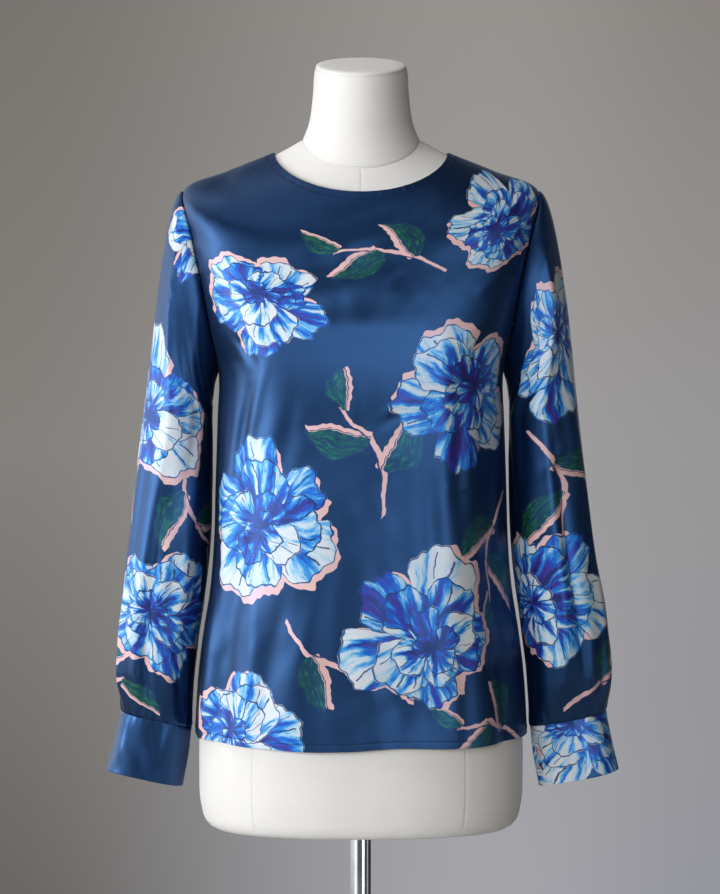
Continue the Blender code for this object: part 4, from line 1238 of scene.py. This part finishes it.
# ============================================================ back
# One piece, cut on the fold, with a slit at the neck. The slit's edges are turned in and stitched.
NECK_SLIT = 95
SLIT_HALF = 1.2  # half the slit's width
BACK_CREASES = crease_table(
    (-40, 420, -96, 150, 10, 18, 2.8), (-62, 430, -124, 180, 8, 16, -2.9),
    (38, 410, 80, 120, -10, 18, 2.5), (64, 436, 130, 170, -8, 16, -2.9),
    (-8, 300, 10, -30, 8, 20, 2.3), (20, 250, 44, -30, -6, 16, -1.9),
    (-36, 240, -60, -24, 6, 16, -1.7), (-150, 400, -176, 110, 4, 14, 2.5),
    (150, 400, 178, 120, -4, 14, 2.5), (-132, 330, -150, 60, 4, 13, -2.2),
    (134, 320, 152, 60, -4, 13, -2.3), (-104, 180, -92, -20, -6, 16, 1.7),
    (104, 190, 90, -20, 6, 16, 1.9), (-60, 300, 12, 262, 10, 8, 1.3),
    (-44, 286, 24, 250, 9, 7, -1.2), (66, 270, 14, 236, -8, 7, 1.2),
    (-148, 470, -92, 430, -8, 9, 1.3), (-150, 452, -104, 402, -8, 8, -1.3),
    (148, 474, 94, 436, 8, 9, 1.3), (150, 455, 102, 408, 8, 8, -1.3),
    (-76, 560, -60, 470, 4, 10, 1.0), (72, 565, 60, 480, -4, 10, 1.0),
    (16, 588, 22, 500, 2, 7, 0.7), (-18, 586, -24, 505, -2, 7, 0.7), (-20, 38, -26, -14, 0, 9, 0.9),
    (70, 42, 78, -14, 0, 9, -0.9), (-124, 40, -130, -14, 0, 9, 1.0),
)
back_satin = satin_material(
    "back_satin",
    [Motif(82, 500, 30, 76, 11), Motif(-98, 404, 160, 80, 12), Motif(58, 276, 280, 80, 13),
     Motif(-124, 150, 60, 76, 14), Motif(34, 66, 210, 80, 15), Motif(182, 160, 340, 66, 16),
     Motif(-150, -6, 100, 62, 17), Motif(-78, 596, 10, 58, 18), Motif(196, 420, 90, 60, 19)],
    [Motif(-20, 510, 30, 76), Motif(24, 392, 210, 74), Motif(-44, 268, 150, 78),
     Motif(140, 250, 70, 72), Motif(-44, 128, 250, 74), Motif(124, 20, 20, 70)],
)

back_limit = edge_angle(ROW_RINGS, False, 0)[:, None]
slit_angle = SLIT_HALF / columns(BLOUSE_RINGS, ROW_RINGS).half
is_slit = ROW_STATIONS > NECK_STATION - NECK_SLIT
BACK_SHARE = np.sort(np.concatenate([0 * TUCKS, [0.003, 0.008], HALF_SHARE, np.ones(len(TUCKS))]))


def measure_back(along, side):
    """Half the back is sewn at its side edge. Its middle edge is turned in at the slit."""
    across = -side * (along + np.where(is_slit, SLIT_HALF, 0.0)[:, None])
    tuck = np.concatenate([TUCKS, np.zeros(len(BACK_SHARE) - 2 * len(TUCKS)), TUCKS[::-1]])
    tuck = np.broadcast_to(tuck, along.shape).copy()
    tuck[~is_slit, : len(TUCKS)] = 0
    return across, along[:, -1:] - along, tuck + np.where(is_slit[:, None], 0.6 * seam_dip(along), 0)


def back_half(side):
    """Half the back, from the middle to one side, column by column. Above the slit's foot its middle
    edge stands off the centre line and is turned in, below it the edge is the centre line."""
    start = np.where(is_slit, slit_angle, 0.0)[:, None]
    angle = pi - side * (start + (back_limit - start) * BACK_SHARE)
    return panel_surface(angle, partial(measure_back, side=side), BACK_CREASES, 8, 21)


def two_halves(left, right, joined_rows):
    """Joins two half grids that share their first column in some rows, and leaves out the faces that
    have no width there. Both grids run from the middle outwards."""
    rows, across = left[0].shape[:2]
    faces = grid_faces(rows, across).reshape(rows - 1, across - 1, 4)
    kept = np.ones(faces.shape[:2], bool)
    kept[joined_rows[:-1] & joined_rows[1:], : len(TUCKS)] = False
    faces = faces[kept]
    other = np.arange(rows * across) + rows * across
    middle = np.flatnonzero(joined_rows) * across + len(TUCKS)
    other[middle] = middle
    used, index = np.unique(np.concatenate([faces[:, ::-1], other[faces]]), return_inverse=True)
    points, flat = (np.stack([left[i], right[i]]).reshape(2 * rows * across, -1)[used] for i in (0, 1))
    return points, flat, index.reshape(-1, 4)


halves = [back_half(1), back_half(-1)]
back_points, back_flat, back_faces = two_halves(*halves, ~is_slit)
back = add_mesh("back_panel", back_points, back_faces, back_satin, back_flat)
hang_cloth(back, "back")

# The hem is one row of stitches. The neck has one each side, and so have the slit's edges.
SLIT_STITCH, SLIT_STITCH_BELOW = 5.0, 4  # from its edge, and past its foot
back_rows = []
for points, flat, normals in halves:
    back_rows += edge_stitches(points, normals, len(TUCKS))
    from_middle_line = np.abs(flat[NECK_ROW, len(TUCKS):, 0]) - SLIT_HALF
    column = len(TUCKS) + np.argmin(np.abs(from_middle_line - SLIT_STITCH))
    above_foot = ROW_STATIONS[FACE_ROWS] > NECK_STATION - NECK_SLIT - SLIT_STITCH_BELOW
    slit_rows = FACE_ROWS[above_foot & (FACE_ROWS <= NECK_ROW)]
    back_rows.append(stitch_row(points[slit_rows, column], normals[slit_rows, column]))
back_thread = add_thread("back_thread", back_rows, navy_thread)


# ============================================================ sleeves
# Two set-in sleeves, each one piece with its seam at the underarm. The head is eased into the
# armhole, a pressed crease runs down from the shoulder, and the fullness is taken into the cuff in
# small tucks. One row below is one level of a sleeve: its height at the body side and the outer
# side, how far those sides lie from the middle of the body, and its reach to the front and back.
SleeveRing = namedtuple("SleeveRing", "station z_in z_out x_in out_right out_left front back")
SLEEVE_RINGS = [
    SleeveRing(0, 985, 985, 158.0, 231, 231, 50, 50),  # upper arm
    SleeveRing(70, 915, 915, 158.0, 240, 240, 51, 48),
    SleeveRing(148, 837, 837, 161.8, 249, 250, 50, 45),  # elbow
    SleeveRing(190, 795, 795, 166.8, 254.0, 258, 48, 42),
    SleeveRing(239, 745, 748, 174.0, 257.5, 263, 43, 38),
    SleeveRing(288, 695, 703, 178.5, 257.5, 264, 37, 33),  # the cloth blouses over the cuff
    SleeveRing(320, 661.5, 677.5, 180.0, 253.5, 260, 30.5, 28.5),  # cuff seam
]
CUFF_SEAM_STATION = 320
SLEEVE_FOLDS = [
    Fold(62, 52, 7, 0, 330, 3.5),
    Fold(15, 10, 12, 60, 330, -4.0),
    Fold(-30, -24, 12, 60, 330, 3.0),
    Fold(150, 140, 12, 60, 330, -4.0),
    Fold(205, 215, 12, 40, 330, 3.0),
]
FOLDS_FADE = 40  # the way over which they fade into the cuff seam
CAP_ROWS_COUNT = 54
TUBE_ROWS = 118
# Across is measured from the outer line, + to the front, and up from the cuff seam.
SLEEVE_CREASES = {
    "left": crease_table(
        (63, 480, 66, 120, -2, 5, -0.8), (100, 470, 96, 240, 4, 9, -1.7),
        (116, 460, 112, 200, 4, 9, 1.6), (134, 380, 128, 160, 3, 9, -1.7),
        (84, 300, 80, 70, 3, 9, 2.0), (60, 440, 56, 150, 5, 12, -1.6),
        (36, 420, 34, 120, -5, 12, 1.7), (10, 400, 14, 90, 4, 12, -1.5),
        (-16, 430, -10, 150, 5, 12, 1.6), (-46, 420, -40, 110, -5, 12, -1.7),
        (-78, 400, -66, 90, 5, 12, 1.8), (-108, 380, -94, 120, 4, 12, -1.6),
        (52, 300, 96, 262, 6, 8, 0.9), (-96, 300, -40, 268, -6, 9, -1.2),
        (-92, 276, -36, 250, -6, 8, 1.1), (98, 120, 92, 0, 3, 7, 1.8), (66, 92, 62, 0, -3, 6, -1.6),
        (50, 110, 47, 0, 3, 6, 1.7), (30, 84, 29, 0, -2, 6, -1.5), (12, 100, 11, 0, 2, 6, 1.6),
        (-10, 80, -8, 0, 2, 6, -1.4), (-28, 94, -23, 0, -3, 6, 1.5), (-78, 90, -66, 0, 3, 7, -1.5),
        (114, 80, 104, 0, 3, 6, -1.4),
    ),
    "right": crease_table(
        (84, 440, 80, 250, 3, 6, -1.2), (66, 470, 88, 440, 3, 4, 0.8),
        (62, 440, 84, 416, -3, 4, -0.7), (50, 430, 44, 190, 5, 11, -1.6),
        (96, 420, 90, 180, 4, 8, -1.5), (108, 400, 102, 200, 4, 7, 1.9),
        (128, 420, 118, 190, 4, 9, -2.4), (34, 440, 30, 200, -5, 11, 1.6),
        (12, 420, 10, 170, 4, 11, -1.6), (-12, 430, -8, 160, 5, 12, 1.6),
        (-40, 410, -34, 110, -5, 12, -1.7), (-72, 400, -60, 90, 5, 12, 1.8),
        (-104, 380, -92, 110, 4, 12, -1.6), (74, 240, 62, 70, -6, 11, 1.8),
        (94, 220, 86, 60, 5, 10, -1.8), (30, 230, 26, 80, 5, 10, -1.5),
        (-100, 300, -44, 266, -6, 9, 1.2), (-94, 280, -38, 250, -6, 8, -1.1),
        (47, 96, 37, 4, 3, 4.5, -1.6), (56, 110, 49, 0, 3, 5, 1.8), (62, 112, 56, -8, 4, 8, -3.2),
        (80, 126, 72, -8, -3, 8, 3.0), (98, 84, 88, 0, 3, 6, -1.5), (114, 100, 104, 0, 3, 6, 1.5),
        (26, 84, 22, 0, 2, 6, 1.5), (8, 90, 6, 0, 2, 6, -1.4), (-12, 86, -10, 0, -3, 6, 1.4),
        (-28, 80, -24, 0, 2, 6, -1.3), (-78, 92, -66, 0, 3, 7, 1.5),
    ),
}
# The pressed crease down each sleeve: how far across it lies at these heights.
PRESSED_UP = [0, 60, 150, 260, 400, 540]
PRESSED_ACROSS = {"left": [77, 77, 77, 76, 73, 70], "right": [43, 46, 53, 62, 67, 70]}
PRESSED_TOP = 560  # it has faded out here
PRESSED_FADE_UP, PRESSED_FADE_DOWN = 120, 45  # over what way it fades at its top and at its foot
PRESSED_RISE = {"left": 11, "right": 7.5}
PRESSED_REACH = {"left": 26, "right": 17}
PLACKET_ACROSS, PLACKET_HALF, PLACKET_LENGTH = -47, 5, 68  # on the back of the sleeve, above the cuff's lap
PLACKET_RISE, PLACKET_EDGE = 0.7, 0.8  # how far it stands out, and over what breadth
# Past its seam at the cuff a sleeve runs on inside it: how far inwards and down each row lies.
SUNK_ROWS = [(-0.9, 0.3), (-1.4, 3), (-1.6, 8)]
SIDES = (("left", 1), ("right", -1))


def armhole_ring():
    """The sleeve's upper edge on the wearer's left. It runs from the underarm up the front, over the
    shoulder tip and down the back."""
    front_edge = edge_angle(ARMHOLE_STATIONS, True, -SEAM / 2)
    back_edge = edge_angle(ARMHOLE_STATIONS, False, -SEAM / 2)
    front_edge[[0, -1]] = pi / 2
    station = np.concatenate([ARMHOLE_STATIONS, ARMHOLE_STATIONS[-2:0:-1]])
    angle = np.concatenate([front_edge, pi - back_edge[-2:0:-1]])
    points = blouse_point(station, angle)
    height = (points[:, 2] - ARMHOLE_BOTTOM) / (ARMHOLE_TOP - ARMHOLE_BOTTOM)
    points[:, 0] += SEAM * 0.5
    points[:, 2] += SEAM * (1 - 2 * height)
    return points, height


def sleeve_ring(table, side, station, angle):
    """A point of a sleeve or cuff, as if on the wearer's left: an ellipse whose body side and outer
    side have their own heights. Angle 0 faces front, 90 degrees is the outer side."""
    ring = columns(table, station)
    x_out = ring.out_left if side > 0 else ring.out_right
    out, fore = np.sin(angle), np.cos(angle)
    x = (x_out + ring.x_in) / 2 + (x_out - ring.x_in) / 2 * out
    y = -np.where(fore >= 0, ring.front, ring.back) * fore
    z = (ring.z_in + ring.z_out) / 2 + (ring.z_out - ring.z_in) / 2 * out
    return np.stack([x, y, z], axis=-1)


def from_middle(table, side, station, angle):
    """The level unit direction from the middle of a sleeve's ring to a point of it."""
    across = sleeve_ring(table, side, station, angle) - sleeve_ring(table, side, station, angle + pi)
    across[..., 2] = 0
    return unit(across)


def sleeve_tube(side, station, angle):
    """The hanging sleeve's face with its large folds, which fade into the cuff seam."""
    above_cuff = CUFF_SEAM_STATION - station
    rise = fold_rise(SLEEVE_FOLDS, above_cuff, np.degrees(angle)) * clipped(above_cuff / FOLDS_FADE)
    outward = from_middle(SLEEVE_RINGS, side, station, angle)
    return sleeve_ring(SLEEVE_RINGS, side, station, angle) + outward * rise[..., None]


def sleeve_base(side):
    """The sleeve row by row from the armhole to the cuff, before its creases. Each column leaves the
    armhole's edge outwards, bends over the cap and comes down into the tube, on a cubic curve with one
    handle at each end."""
    start, height = armhole_ring()
    way = row_lengths(np.concatenate([start, start[:1]])[None])[0]
    angle = 2 * pi * (way[:-1] / way[-1]) - pi / 2  # from the body side, round by the front
    end = sleeve_tube(side, np.zeros(len(start)), angle)
    belly = np.sqrt(clipped(4 * height * (1 - height)))
    leave = start + np.stack([6 + 11 * height, -13 * np.cos(angle) * belly, -14 + 12 * height], axis=-1)
    arrive = end + np.stack([-17 * height, 0 * height, 18 + 127 * height], axis=-1)
    shares = [0, 0.004, 0.009, 0.015, 0.022, *np.linspace(0.03, 1, CAP_ROWS_COUNT)[:-1]]
    f = np.array(shares)[:, None, None]
    cap = start * (1 - f) ** 3 + leave * 3 * f * (1 - f) ** 2 + arrive * 3 * f * f * (1 - f) + end * f**3
    near_cuff = np.array([4, 2.6, 1.4, 0.6, 0])
    stations = np.linspace(0, CUFF_SEAM_STATION - near_cuff[0], TUBE_ROWS)
    stations = np.concatenate([stations, CUFF_SEAM_STATION - near_cuff[1:]])
    return np.concatenate([cap, sleeve_tube(side, stations[:, None], angle)]), angle


def pressed_rise(name, across, up):
    """How far a sleeve's pressed crease lifts the cloth: two flat facets that meet in a rounded edge."""
    off = across - np.interp(up, PRESSED_UP, PRESSED_ACROSS[name])
    fade = clipped(up / PRESSED_FADE_DOWN) * clipped((PRESSED_TOP - up) / PRESSED_FADE_UP)
    return PRESSED_RISE[name] * fade * np.exp(-np.sqrt(off**2 + 2) / PRESSED_REACH[name])


def sleeve_shape(name, side):
    """A sleeve's points and its places on the flat cloth, as if on the wearer's left."""
    base, angle = sleeve_base(side)
    normals = grid_normals(base[::-1])[::-1]
    outer = int(np.argmin(np.abs(angle - pi / 2)))
    along = row_lengths(base)
    across = along[:, outer : outer + 1] - along
    down = column_lengths(base)
    up = down[-1:] - down
    soft = clipped(down / 30)
    rise = soft * (crease_rise(SLEEVE_CREASES[name], across, up) + pressed_rise(name, across, up))
    rise += soft * np.clip(up / 20, 0.2, 1) * soft_swell(across, up, 31 if side > 0 else 37, height=0.4)
    rise += soft * crumple(across, up, 60 + side)
    rise += puckers(along, down, 41, height=0.25, reach=9.0, pitch=10)
    rise += puckers(along, up, 43 + side, height=0.9, reach=14.0, pitch=10)
    rise += seam_dip(down) + seam_dip(up) * 1.3
    on_placket = clipped((PLACKET_HALF - np.abs(across - PLACKET_ACROSS)) / PLACKET_EDGE)
    rise += PLACKET_RISE * on_placket * clipped((PLACKET_LENGTH - up) / PLACKET_EDGE)
    face = base + normals * rise[..., None]
    tucks = [face[0] + normals[0] * depth for depth in TUCKS]
    sunk = [face[-1] + normals[-1] * inward + [0, 0, -fall] for inward, fall in SUNK_ROWS]
    points = np.concatenate([tucks, face, sunk])
    beyond = [[-0.5], [-3], [-8]]  # the flat cloth's rows past the seam
    up = np.concatenate([up[:1] - TUCKS[:, None], up, up[-1:] + beyond])
    across = np.pad(across, ((len(TUCKS), len(SUNK_ROWS)), (0, 0)), mode="edge")
    return points, np.stack([across, up], axis=-1)


def add_tube(name, side, points, flat, material):
    """A closed tube from a grid worked out for the wearer's left, whose rows run down it. The flat
    cloth's two edges meet at the first column. There the map goes on by one more step, so that it
    doesn't run backwards."""
    rows, across = points.shape[:2]
    last, before = flat[:, -1:], flat[:, -2:-1]
    beyond = np.stack([last[..., 0] - (before[..., 0] - last[..., 0]), flat[:, :1, 1]], axis=-1)
    faces, corners = grid_faces(rows, across, closed=True), grid_faces(rows, across + 1)
    return add_mesh(name, points * [side, 1, 1], faces[:, ::side], material,
                    np.concatenate([flat, beyond], axis=1), corners[:, ::side])


SLEEVE_PRINTS = {
    "left": ([Motif(60, 396, 20, 72, 21), Motif(92, 138, 130, 74, 22), Motif(-62, 270, 250, 72, 23),
              Motif(-96, 60, 10, 64, 24), Motif(-80, 500, 60, 60, 25)],
             [Motif(62, 262, 100, 74), Motif(20, 40, 190, 70), Motif(-130, 400, 30, 70)]),
    "right": ([Motif(36, 330, 200, 74, 26), Motif(100, 516, 20, 60, 27), Motif(-74, 460, 60, 66, 28),
               Motif(78, 118, 300, 70, 29), Motif(-80, 190, 140, 70, 30)],
              [Motif(96, 236, 60, 74), Motif(-10, 236, 210, 70), Motif(-30, 40, 20, 70)]),
}
for name, side in SIDES:
    sleeve_satin = satin_material(f"sleeve_{name}_satin", *SLEEVE_PRINTS[name])
    sleeve = add_tube(f"sleeve_{name}_cloth", side, *sleeve_shape(name, side), sleeve_satin)
    hang_cloth(sleeve, f"sleeve_{name}")


# ============================================================ cuffs
# Barrel cuffs of satin over a firm interlining, turned out flat and thick at the edges. The outer end
# laps over the inner end at the back, where the button is.
CUFF_RINGS = [
    SleeveRing(0, 661.0, 677.0, 180.0, 253.5, 260, 30.5, 28.5),
    SleeveRing(32, 629.8, 646.0, 184.5, 262.0, 266.5, 29.0, 27.5),
    SleeveRing(64, 598.5, 615.5, 189.5, 270.5, 273.5, 27.5, 26.5),
]
CUFF_HEIGHT = 64
CUFF_LAP_ANGLE, CUFF_LAP = 115, 40
CUFF_WAVE = 0.5  # of its lower edge
CUFF_THICKNESS = 1.3
CUFF_RADIUS = 33.4  # the mean one, which gives the flat strip its length
MODEL_CLOTH = 1.5  # the wall in the model, which the lap climbs over
CUFF_CREASES = crease_table(
    (-70, 60, -64, 4, 3, 7.6, 0.9), (-50, 62, -44, 2, 4, 7.6, -1.2),
    (-29, 66, -20, -4, -3, 7.6, 1.2), (-6, 62, -12, 0, 4, 6.8, -1.3), (12, 68, 17, 4, -3, 6.8, 1.1),
    (33, 60, 27, -2, 3, 7.6, -1), (53, 64, 59, 4, 3, 7.6, 1), (74, 60, 68, 0, -2, 6.8, -0.9),
)
# Each cuff is bent a little across its front.
CUFF_BENDS = {1: Crease(10, 72, 40, -8, 2, 14, 1.0), -1: Crease(70, 78, 28, -14, -2, 17, 3.2)}


def cuff_point(side, station, turn):
    """A point of the cuff's face. The turn runs from its inner end, once round and on over that end,
    and the cloth climbs by its own thickness before it laps over."""
    lap = np.radians(CUFF_LAP)
    climb = clipped((turn - (2 * pi - lap)) / lap)
    lift = (MODEL_CLOTH + SEAM) * climb
    angle = np.radians(CUFF_LAP_ANGLE) + turn
    outward = from_middle(CUFF_RINGS, side, station, angle)
    return sleeve_ring(CUFF_RINGS, side, station, angle) + outward * lift[..., None]


def cuff_shape(side):
    """The cuff's closed section, carried round: down its face, round the lower fold, up its inside and
    round the upper fold. The strip's two ends are pinched flat."""
    half = CUFF_THICKNESS / 2
    sweep = np.radians([60, 30, 0, -30, -60])
    down = steps_with(0, CUFF_HEIGHT, 2.3, 0, CUFF_HEIGHT, near=(-1.5, -0.8, -0.4, 0, 0.4, 0.8, 1.5))
    fold_low = [(CUFF_HEIGHT + half * np.cos(a), half * (np.sin(a) - 1)) for a in sweep]
    fold_top = [(-half * np.cos(a), half * (np.sin(a) - 1)) for a in sweep[::-1]]
    inside = [(s, -CUFF_THICKNESS) for s in down[::-1]]
    section = np.array([*((s, 0) for s in down), *fold_low, *inside, *fold_top])
    strip = (2 * pi + np.radians(CUFF_LAP)) * CUFF_RADIUS
    turns = steps_with(0, strip, 1.9, 0, strip, near=(-1.6, -0.9, -0.4, 0, 0.4, 0.9, 1.6)) / CUFF_RADIUS
    station, turn = np.broadcast_arrays(np.clip(section[:, :1], -2, CUFF_HEIGHT + 2), turns)
    normals = -outward_normals(partial(cuff_point, side), station, turn)
    along = turn * CUFF_RADIUS - strip / 2
    rise = crease_rise([*CUFF_CREASES, CUFF_BENDS[side]], along, CUFF_HEIGHT - station)
    rise += soft_swell(along, station, 51 + side, height=0.22) + crumple(along, station, 70 + side, 0.1)
    rise += puckers(along, station, 80 + side, height=0.3, reach=8, pitch=9)
    end = np.minimum(along - along.min(), along.max() - along)
    pinch = np.sqrt(clipped(1 - (1 - clipped(end / half)) ** 2))
    depth = -half + (section[:, 1:] + half) * np.maximum(pinch, 0.02)
    points = cuff_point(side, station, turn) + normals * (rise + depth)[..., None]
    points[..., 2] += CUFF_WAVE * np.sin(along / 13 + side) * clipped(station / CUFF_HEIGHT) ** 2
    return points, np.stack([-along, CUFF_HEIGHT - station], axis=-1)


CUFF_PRINTS = {
    "left": ([Motif(-35, 50, 40, 60, 41), Motif(55, 4, 200, 58, 42)], [Motif(11, 70, 100, 62)]),
    "right": ([Motif(76, 62, 80, 52, 43)], []),
}
for name, side in SIDES:
    cuff_satin = satin_material(f"cuff_{name}_satin", *CUFF_PRINTS[name], roughness=0.30)  # pressed flat
    points, flat = cuff_shape(side)
    place = np.arange(flat[..., 0].size).reshape(flat.shape[:2])
    after = np.roll(place, -1, axis=0)
    quads = np.stack([place[:, :-1], after[:, :-1], after[:, 1:], place[:, 1:]], -1).reshape(-1, 4)
    faces = [face[::side] for face in (*quads, place[::-1, 0], place[:, -1])]
    cuff = add_mesh(f"cuff_{name}_cloth", points * [side, 1, 1], faces, cuff_satin, flat)
    place_piece(cuff, f"cuff_{name}")


# ============================================================ fastenings
# Each cuff closes with a flat four-hole button that is sewn through with two bars of thread. The
# neck closes with a small domed button and a cord loop. All are dyed to match the cloth.
def button_material():
    """Dyed, polished casein: faint clouds in the colour, a soft gloss with fine scratches."""
    material, tree, shader = plain_material(
        "button_navy", (0.010, 0.022, 0.075), 0.22,
        **{"Specular IOR Level": 0.55, "Coat Weight": 0.25, "Coat Roughness": 0.12},
    )
    place = tree.place()
    cloud = tree.noise(place, 420, 3, 0.55)
    scratch = tree.noise(tree.vector("MULTIPLY", place, (2600, 900, 2600)), 1.0, 3, 0.6)
    link_surface(tree, shader, {
        "Base Color": tree.ramp(cloud, [(0.3, (0.006, 0.014, 0.050)), (0.7, (0.016, 0.034, 0.105))]),
        "Roughness": 0.17 + scratch * 0.14,
    }, scratch, 0.15, 0.00003)
    return material


def cord_material():
    """A satin-covered cord: fine slanting ridges in the bump, with painted shade between them and painted
    highlights on their crests.
    """
    material, tree, shader = plain_material(
        "loop_cord", GROUND, 0.38, **{"Specular IOR Level": 1.0, "Specular Tint": (0.3, 0.55, 1.0, 1)}
    )
    x, y, z = tree.split(tree.place())
    ridge = tree.sine((x + y + z) * (2 * pi / (0.5 * MM)))
    # painted shade and highlight: the colour is darker in the ridges' hollows and lighter on their crests
    shade = tree.math("MULTIPLY_ADD", ridge, 0.5, 0.5)
    colour = tree.ramp(shade, [(0.0, (0.002, 0.008, 0.026)), (1.0, (0.008, 0.026, 0.078))])
    link_surface(tree, shader, {"Base Color": colour}, ridge, 0.5, 0.00008)
    return material


button_navy, loop_cord = button_material(), cord_material()
for node, material in (("button_neck", button_navy), ("button_cuff_left", button_navy),
                       ("button_cuff_right", button_navy), ("loop_neck", loop_cord)):
    node_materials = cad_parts[node].data.materials
    node_materials.clear()
    node_materials.append(material)

# A cuff button lies on the middle of the lap. Two bars of thread run over it, through its holes.
BUTTON_STATION, HOLE_PLACE, THREAD_HEIGHT, BAR_THREAD = 32, 1.25, 1.9, 0.7
for name, side in SIDES:
    mirror = np.array([side, 1, 1])
    spot = np.array([BUTTON_STATION]), np.array([2 * pi + np.radians(CUFF_LAP) / 2])
    normal = -outward_normals(partial(cuff_point, side), *spot)[0] * mirror
    beside = unit(np.cross([0, 0, 1], normal))
    above = np.cross(normal, beside)
    middle = cuff_point(side, *spot)[0] * mirror + normal * (SEAM + THREAD_HEIGHT)
    starts, ends = (np.array([middle + HOLE_PLACE * (above * half + beside * way) for half in (-1, 1)])
                    for way in (-1, 1))
    rods = thread_rods(starts, ends, np.array([normal, normal]), thickness=BAR_THREAD)
    place_piece(add_mesh(f"button_{name}_thread", *rods, navy_thread))

# The form's seams show a fine row of stitches where the cloth leaves them bare: the upright ones below
# the hem and above the neck edge, and the two round the neck.
form_thread = thread_material("form_thread", (0.17, 0.14, 0.11))
FORM_STITCH, FORM_STITCH_GAP, FORM_THREAD = 0.9, 1.7, 0.55
BARE_STATIONS = ((22, 118), (742, 831))
ROUND_NECK = ((1.2, 0.1), (CAP_SEAM - 1.4, 0.2))  # each row's station on the neck, and how deep it lies


def seam_stitches(table, stations, angles, depth):
    """A row of stitches along a line on the form, given by stations and angles."""
    stations, angles = np.broadcast_arrays(stations, angles)
    normals = outward_normals(partial(ring_point, table), stations, angles)
    line = ring_point(table, stations, angles)
    return stitch_row(line - normals * depth, normals, FORM_STITCH, FORM_STITCH_GAP)


form_rows = [
    seam_stitches(FORM_RINGS, np.linspace(low, high, 40), radians(seam.angle), SEAM_DEPTH)
    for seam in BODY_SEAMS for low, high in BARE_STATIONS if seam.low <= low and seam.high >= high
]
all_round = np.linspace(-pi, pi, 160)
form_rows += [seam_stitches(NECK_RINGS, station, all_round, depth) for station, depth in ROUND_NECK]
add_thread("form_thread", form_rows, form_thread, thickness=FORM_THREAD)
